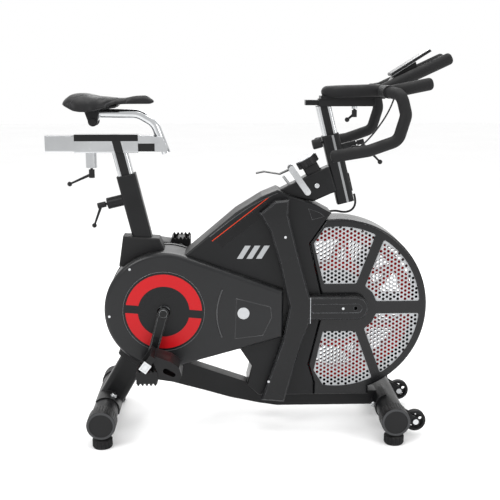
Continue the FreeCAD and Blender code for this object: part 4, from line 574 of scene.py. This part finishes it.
def saddle_section(x, count):
    """One closed loop of points across the pad, flatter below and crowned on top."""
    half = max(0.006, between(SADDLE_PLAN, x) - 0.005)
    top = between(SADDLE_TOP, x) - 0.004
    low = between(SADDLE_BOTTOM, x) + 0.001
    middle = low + (top - low) * 0.42
    skirt = 0.020 * math.exp(-((x + 0.485) / 0.055) ** 2)
    loop = []
    for i in range(count):
        angle = 2 * math.pi * i / count
        c, s = math.cos(angle), math.sin(angle)
        y = half * math.copysign(abs(c) ** 0.62, c)
        rise = (top - middle) if s > 0 else (middle - low)
        z = middle + rise * math.copysign(abs(s) ** (0.72 if s > 0 else 0.45), s)
        out = min(1.0, abs(y) / max(half, 0.02))
        droop = 0.006 * out ** 2 if s > 0 else 0.0
        loop.append((x, y, z - droop - skirt * out ** 3 * (1 - max(s, 0.0))))
    return loop


def saddle_form():
    """The closed mesh of the pad before it is filled."""
    count, steps = 40, 44
    first, last = SADDLE_PLAN[0][0] + 0.004, SADDLE_PLAN[-1][0] - 0.003
    verts = []
    for i in range(steps + 1):
        verts.extend(saddle_section(first + (last - first) * i / steps, count))
    faces = []
    for i in range(steps):
        for j in range(count):
            a, b = i * count + j, i * count + (j + 1) % count
            faces.append((a, a + count, b + count, b))
    faces.append(tuple(range(count)))
    faces.append(tuple(reversed(range(steps * count, (steps + 1) * count))))
    mesh = bpy.data.meshes.new("saddle_cushion")
    mesh.from_pydata(verts, [], faces)
    mesh.validate()
    piece = bpy.data.objects.new("saddle_cushion", mesh)
    scene.collection.objects.link(piece)
    alone(piece)
    bpy.ops.object.mode_set(mode="EDIT")
    bpy.ops.mesh.select_all(action="SELECT")
    bpy.ops.mesh.normals_make_consistent(inside=False)
    bpy.ops.object.mode_set(mode="OBJECT")
    remesh = piece.modifiers.new("even_mesh", "REMESH")
    remesh.mode = "VOXEL"
    remesh.voxel_size = 0.0045
    bpy.ops.object.modifier_apply(modifier=remesh.name)
    return piece


cushion = saddle_form()
print("saddle vertices:", len(cushion.data.vertices))

# %% [markdown]
# ## Saddle filling
# The underside is held, the top is inflated, and no point moves further than a few millimetres.


# %% Saddle cloth
def inflate(piece, cap):
    """Blow the pad up with cloth pressure and keep each point's move within the cap, in metres."""
    rest = [vertex.co.copy() for vertex in piece.data.vertices]
    held = piece.vertex_groups.new(name="held")
    under = [v.index for v in piece.data.vertices if v.normal.z < -0.6]
    held.add(under, 1.0, "REPLACE")
    cloth = piece.modifiers.new("filling", "CLOTH")
    cloth.settings.use_pressure = True
    cloth.settings.uniform_pressure_force = 4.0
    cloth.settings.effector_weights.gravity = 0.0
    cloth.settings.vertex_group_mass = held.name
    cloth.settings.quality = 5
    for number in range(1, 21):
        scene.frame_set(number)
    alone(piece)
    bpy.ops.object.modifier_apply(modifier=cloth.name)
    scene.frame_set(1)
    for vertex, start in zip(piece.data.vertices, rest):
        move = vertex.co - start
        if move.length > cap:
            vertex.co = start + move.normalized() * cap


inflate(cushion, 0.005)
alone(cushion)
smooth = cushion.modifiers.new("even", "SMOOTH")
smooth.iterations = 3
bpy.ops.object.modifier_apply(modifier=smooth.name)
finer = cushion.modifiers.new("finer", "SUBSURF")
finer.levels = 1
bpy.ops.object.modifier_apply(modifier=finer.name)
print("filled saddle:", len(cushion.data.vertices))

# %% [markdown]
# ## Saddle seams
# Each seam is a shallow valley that follows a slanted line on both sides of the pad.

# %% Saddle seams
SEAMS = [((-0.535, 0.100), (-0.455, 0.010)),
         ((-0.470, 0.096), (-0.385, 0.006)),
         ((-0.395, 0.045), (-0.345, 0.004))]
SEAM_DEPTH, SEAM_SPREAD = 0.0016, 0.0028


def seam_distance(x, y, seam):
    """Distance from a place on the pad to a seam, seen from above."""
    (x0, y0), (x1, y1) = seam
    run = Vector((x1 - x0, y1 - y0))
    t = max(0.0, min(1.0, Vector((x - x0, y - y0)).dot(run) / run.length_squared))
    return math.hypot(x - x0 - run.x * t, y - y0 - run.y * t)


alone(cushion)
bpy.ops.object.shade_smooth()
for vertex in cushion.data.vertices:
    if vertex.normal.z < -0.2:
        continue
    near = min(seam_distance(vertex.co.x, abs(vertex.co.y), seam) for seam in SEAMS)
    vertex.co -= vertex.normal * SEAM_DEPTH * math.exp(-(near / SEAM_SPREAD) ** 2)
print("seams:", len(SEAMS) * 2)


# %% [markdown]
# ## Saddle cover
# A soft black cover with a pebbled grain and stitches beside each seam.

# %% Saddle cover material
saddle_vinyl = surface("saddle_cover_vinyl", (0.0075, 0.0075, 0.008), 0.42, grain=420, bump=0.35, mottle=0.2,
                       edge_wear_and_sheen=0.0, dust=0.05)
tree = saddle_vinyl.node_tree
cells = tree.nodes.new("ShaderNodeTexVoronoi")
cells.inputs["Scale"].default_value = 620.0
tree.links.new(place_of(saddle_vinyl), cells.inputs["Vector"])
pebble = tree.nodes.new("ShaderNodeBump")
pebble.inputs["Strength"].default_value = 0.35
pebble.inputs["Distance"].default_value = 0.0005
tree.links.new(cells.outputs["Distance"], pebble.inputs["Height"])
relief = tree.nodes["Principled BSDF"].inputs["Normal"].links[0].from_node
tree.links.new(relief.outputs["Normal"], pebble.inputs["Normal"])
tree.links.new(pebble.outputs["Normal"], tree.nodes["Principled BSDF"].inputs["Normal"])
for side in (1, -1):
    for (x0, y0), (x1, y1) in SEAMS:
        run = Vector((x1 - x0, (y1 - y0) * side, 0)).normalized()
        across = Vector((run.y, -run.x, 0))
        middle = Vector(((x0 + x1) / 2, (y0 + y1) / 2 * side, 0))
        reach = math.hypot(x1 - x0, y1 - y0) / 2
        line = slab(saddle_vinyl, middle, across, 0.0007)
        mask = both(saddle_vinyl, line, slab(saddle_vinyl, middle, run, reach))
        overlay(saddle_vinyl, mask, (0.03, 0.03, 0.032), 0.6)
finished(cushion, "saddle_cushion", saddle_vinyl, "saddle")
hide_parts("saddle_pad")
print("saddle box:", [round(v, 4) for v in (saddle_low.x, saddle_high.x, saddle_low.z, saddle_high.z)])

# %% [markdown]
# ## Console cable and sensor lead
# Both leads are single smooth curves that go from one fitting into another.

# %% Leads
CABLE = [(0.462, -0.014, 1.100), (0.455, -0.022, 1.044), (0.380, -0.030, 0.934), (0.348, -0.032, 0.912)]
LEAD = [(0.3385, -0.004, 0.762), (0.346, -0.006, 0.738), (0.336, -0.009, 0.712), (0.310, -0.012, 0.703),
        (0.272, -0.014, 0.712), (0.252, -0.014, 0.705)]
cable = line_curve("console_cable_lead", CABLE, 0.0025, depth=4)
finished(cable, "console_cable_lead", cable_black, "handlebar")
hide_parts("console_cable")
lead = line_curve("sensor_lead", LEAD, 0.0035, depth=4)
finished(lead, "sensor_lead", cable_black, "frame")
print("leads made")

# %% [markdown]
# ## Sensor strip and connector
# A flat strip guides the lead down the head tube, and a small rounded connector joins
# the console cable to it.

# %% Strip and connector
HEAD_UP = Vector((-math.sin(HEAD_LEAN), 0, math.cos(HEAD_LEAN)))
HEAD_FOOT = HEAD_TOP - HEAD_UP * 0.217


def beveled_box(name, centre, size, lean=0.0, bevel=0.001, segments=2):
    """A box with rounded edges, turned about Y, with its place in its mesh."""
    bpy.ops.mesh.primitive_cube_add(size=1.0, location=centre)
    piece = bpy.context.object
    piece.scale = size
    piece.rotation_euler = (0, lean, 0)
    alone(piece)
    bpy.ops.object.transform_apply(location=True, rotation=True, scale=True)
    rounding = piece.modifiers.new("rounding", "BEVEL")
    rounding.width = bevel
    rounding.segments = segments
    bpy.ops.object.modifier_apply(modifier=rounding.name)
    bpy.ops.object.shade_smooth_by_angle(angle=math.radians(40))
    piece.name = name
    return piece


strip_centre = HEAD_FOOT + HEAD_UP * 0.059 + HEAD_ACROSS * 0.0292
strip = beveled_box("sensor_strip", strip_centre, (0.0036, 0.0156, 0.0575), -HEAD_LEAN, 0.0012)
finished(strip, "sensor_strip", trim_black, "frame")
plug_body = beveled_box("connector_body", (0.3355, -0.032, 0.910), (0.0265, 0.0115, 0.0135), 0.0, 0.002)
finished(plug_body, "connector_body", trim_black, "frame")
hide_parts("sensor_cable")
print("strip and connector made")


# %% [markdown]
# ## Trim lines on the covers
# Thin raised lines follow the belt cover's ridge and panel and the body's top edge, and a silver line
# along the pillar's front edge is a painted highlight of its glossy bevel. Each is made on both sides.

# %% Trim lines
def side_line(name, points, face, radius, material, closed=False, kind="NURBS"):
    """A raised line on the right and left faces, half sunk into them."""
    made = []
    for side, word in ((-1, "right"), (1, "left")):
        place = [(x, side * face, z) for x, z in inside(points)]
        piece = as_mesh(line_curve(name, place, radius, kind, closed))
        made.append(finished(piece, f"{name}_{word}", material, "frame"))
    return made


side_line("belt_cover_ridge", [(-80, 474), (-92, 444), (-99, 400), (-95, 352), (-82, 318)], COVER_FACE,
          0.0035, ridge_black)
side_line("cover_panel_rim", [(-36, 444), (71, 416), (75, 382), (47, 323), (-41, 313)], COVER_FACE - 0.0004,
          0.0016, ridge_black, closed=True, kind="POLY")
side_line("body_top_line", [(-118, 636), (-36, 704), (45, 753), (93, 772)], BODY_FACE - 0.0004, 0.0016,
          ridge_black)
side_line("nose_pocket_upper", [(189, 724), (222, 712), (240, 699), (201, 689)], BODY_FACE - 0.0003, 0.0014,
          ridge_black, closed=True, kind="POLY")
# Painted highlight: a silver line stands in for the shine along the pillar's glossy front edge.
side_line("pillar_edge_highlight_line", [(197, 446), (197, 410), (197, 362)], PILLAR_FACE - 0.0004, 0.0012,
          pillar_highlight_silver)

# %% [markdown]
# ## Floor, light and camera
# A pale floor, soft light from above and both sides, and the camera.

# %% Floor
bpy.ops.mesh.primitive_plane_add(size=30.0, location=(0, 0, 0))
floor = bpy.context.object
floor.name = "studio_floor"
floor_paint = bpy.data.materials.new("pale_floor")
floor_paint.use_nodes = True
tree = floor_paint.node_tree
place = tree.nodes.new("ShaderNodeTexCoord").outputs["Object"]
cloud = noise(tree, place, 1.2, 2.0)
tree.links.new(blend_colour(tree, ramp(tree, cloud, 0.3, 0.7), (0.97, 0.97, 0.97), (0.99, 0.99, 0.99)),
               tree.nodes["Principled BSDF"].inputs["Base Color"])
tree.nodes["Principled BSDF"].inputs["Roughness"].default_value = 0.7
floor.data.materials.append(floor_paint)
print("floor ready")


# %% [markdown]
# ## Lights

# %% Lights
def softbox(name, place, target, size, power):
    """A square area light that faces the target."""
    data = bpy.data.lights.new(name, "AREA")
    data.shape = "RECTANGLE"
    data.size, data.size_y = size
    data.energy = power
    light = bpy.data.objects.new(name, data)
    scene.collection.objects.link(light)
    light.location = place
    light.rotation_euler = (Vector(target) - Vector(place)).to_track_quat("-Z", "Y").to_euler()
    return light


softbox("key_light", (-2.4, -2.6, 3.0), (0, 0, 0.6), (1.6, 1.6), 80)
softbox("fill_light", (2.8, -2.4, 1.8), (0, 0, 0.6), (1.2, 2.0), 40)
softbox("top_light", (0.2, 0.2, 3.6), (0, 0, 0.5), (2.4, 2.4), 60)
softbox("rim_light", (0.5, 3.0, 2.4), (0, 0, 0.8), (2.4, 1.2), 40)
world = bpy.data.worlds.new("studio_world")
scene.world = world
world.use_nodes = True
world.node_tree.nodes["Background"].inputs["Color"].default_value = (1, 1, 1, 1)
world.node_tree.nodes["Background"].inputs["Strength"].default_value = 1.0
scene.view_settings.view_transform = "Standard"
print("lights ready")

# %% [markdown]
# ## Camera

# %% Camera
lens = bpy.data.cameras.new("main_camera")
lens.lens = 62.79
lens.sensor_width = 36.0
camera = bpy.data.objects.new("main_camera", lens)
scene.collection.objects.link(camera)
camera.location = (-0.07907, -2.72975, 1.16160)
camera.rotation_euler = (math.radians(78.0), 0.0, math.radians(-1.857))
scene.camera = camera
print("camera ready")
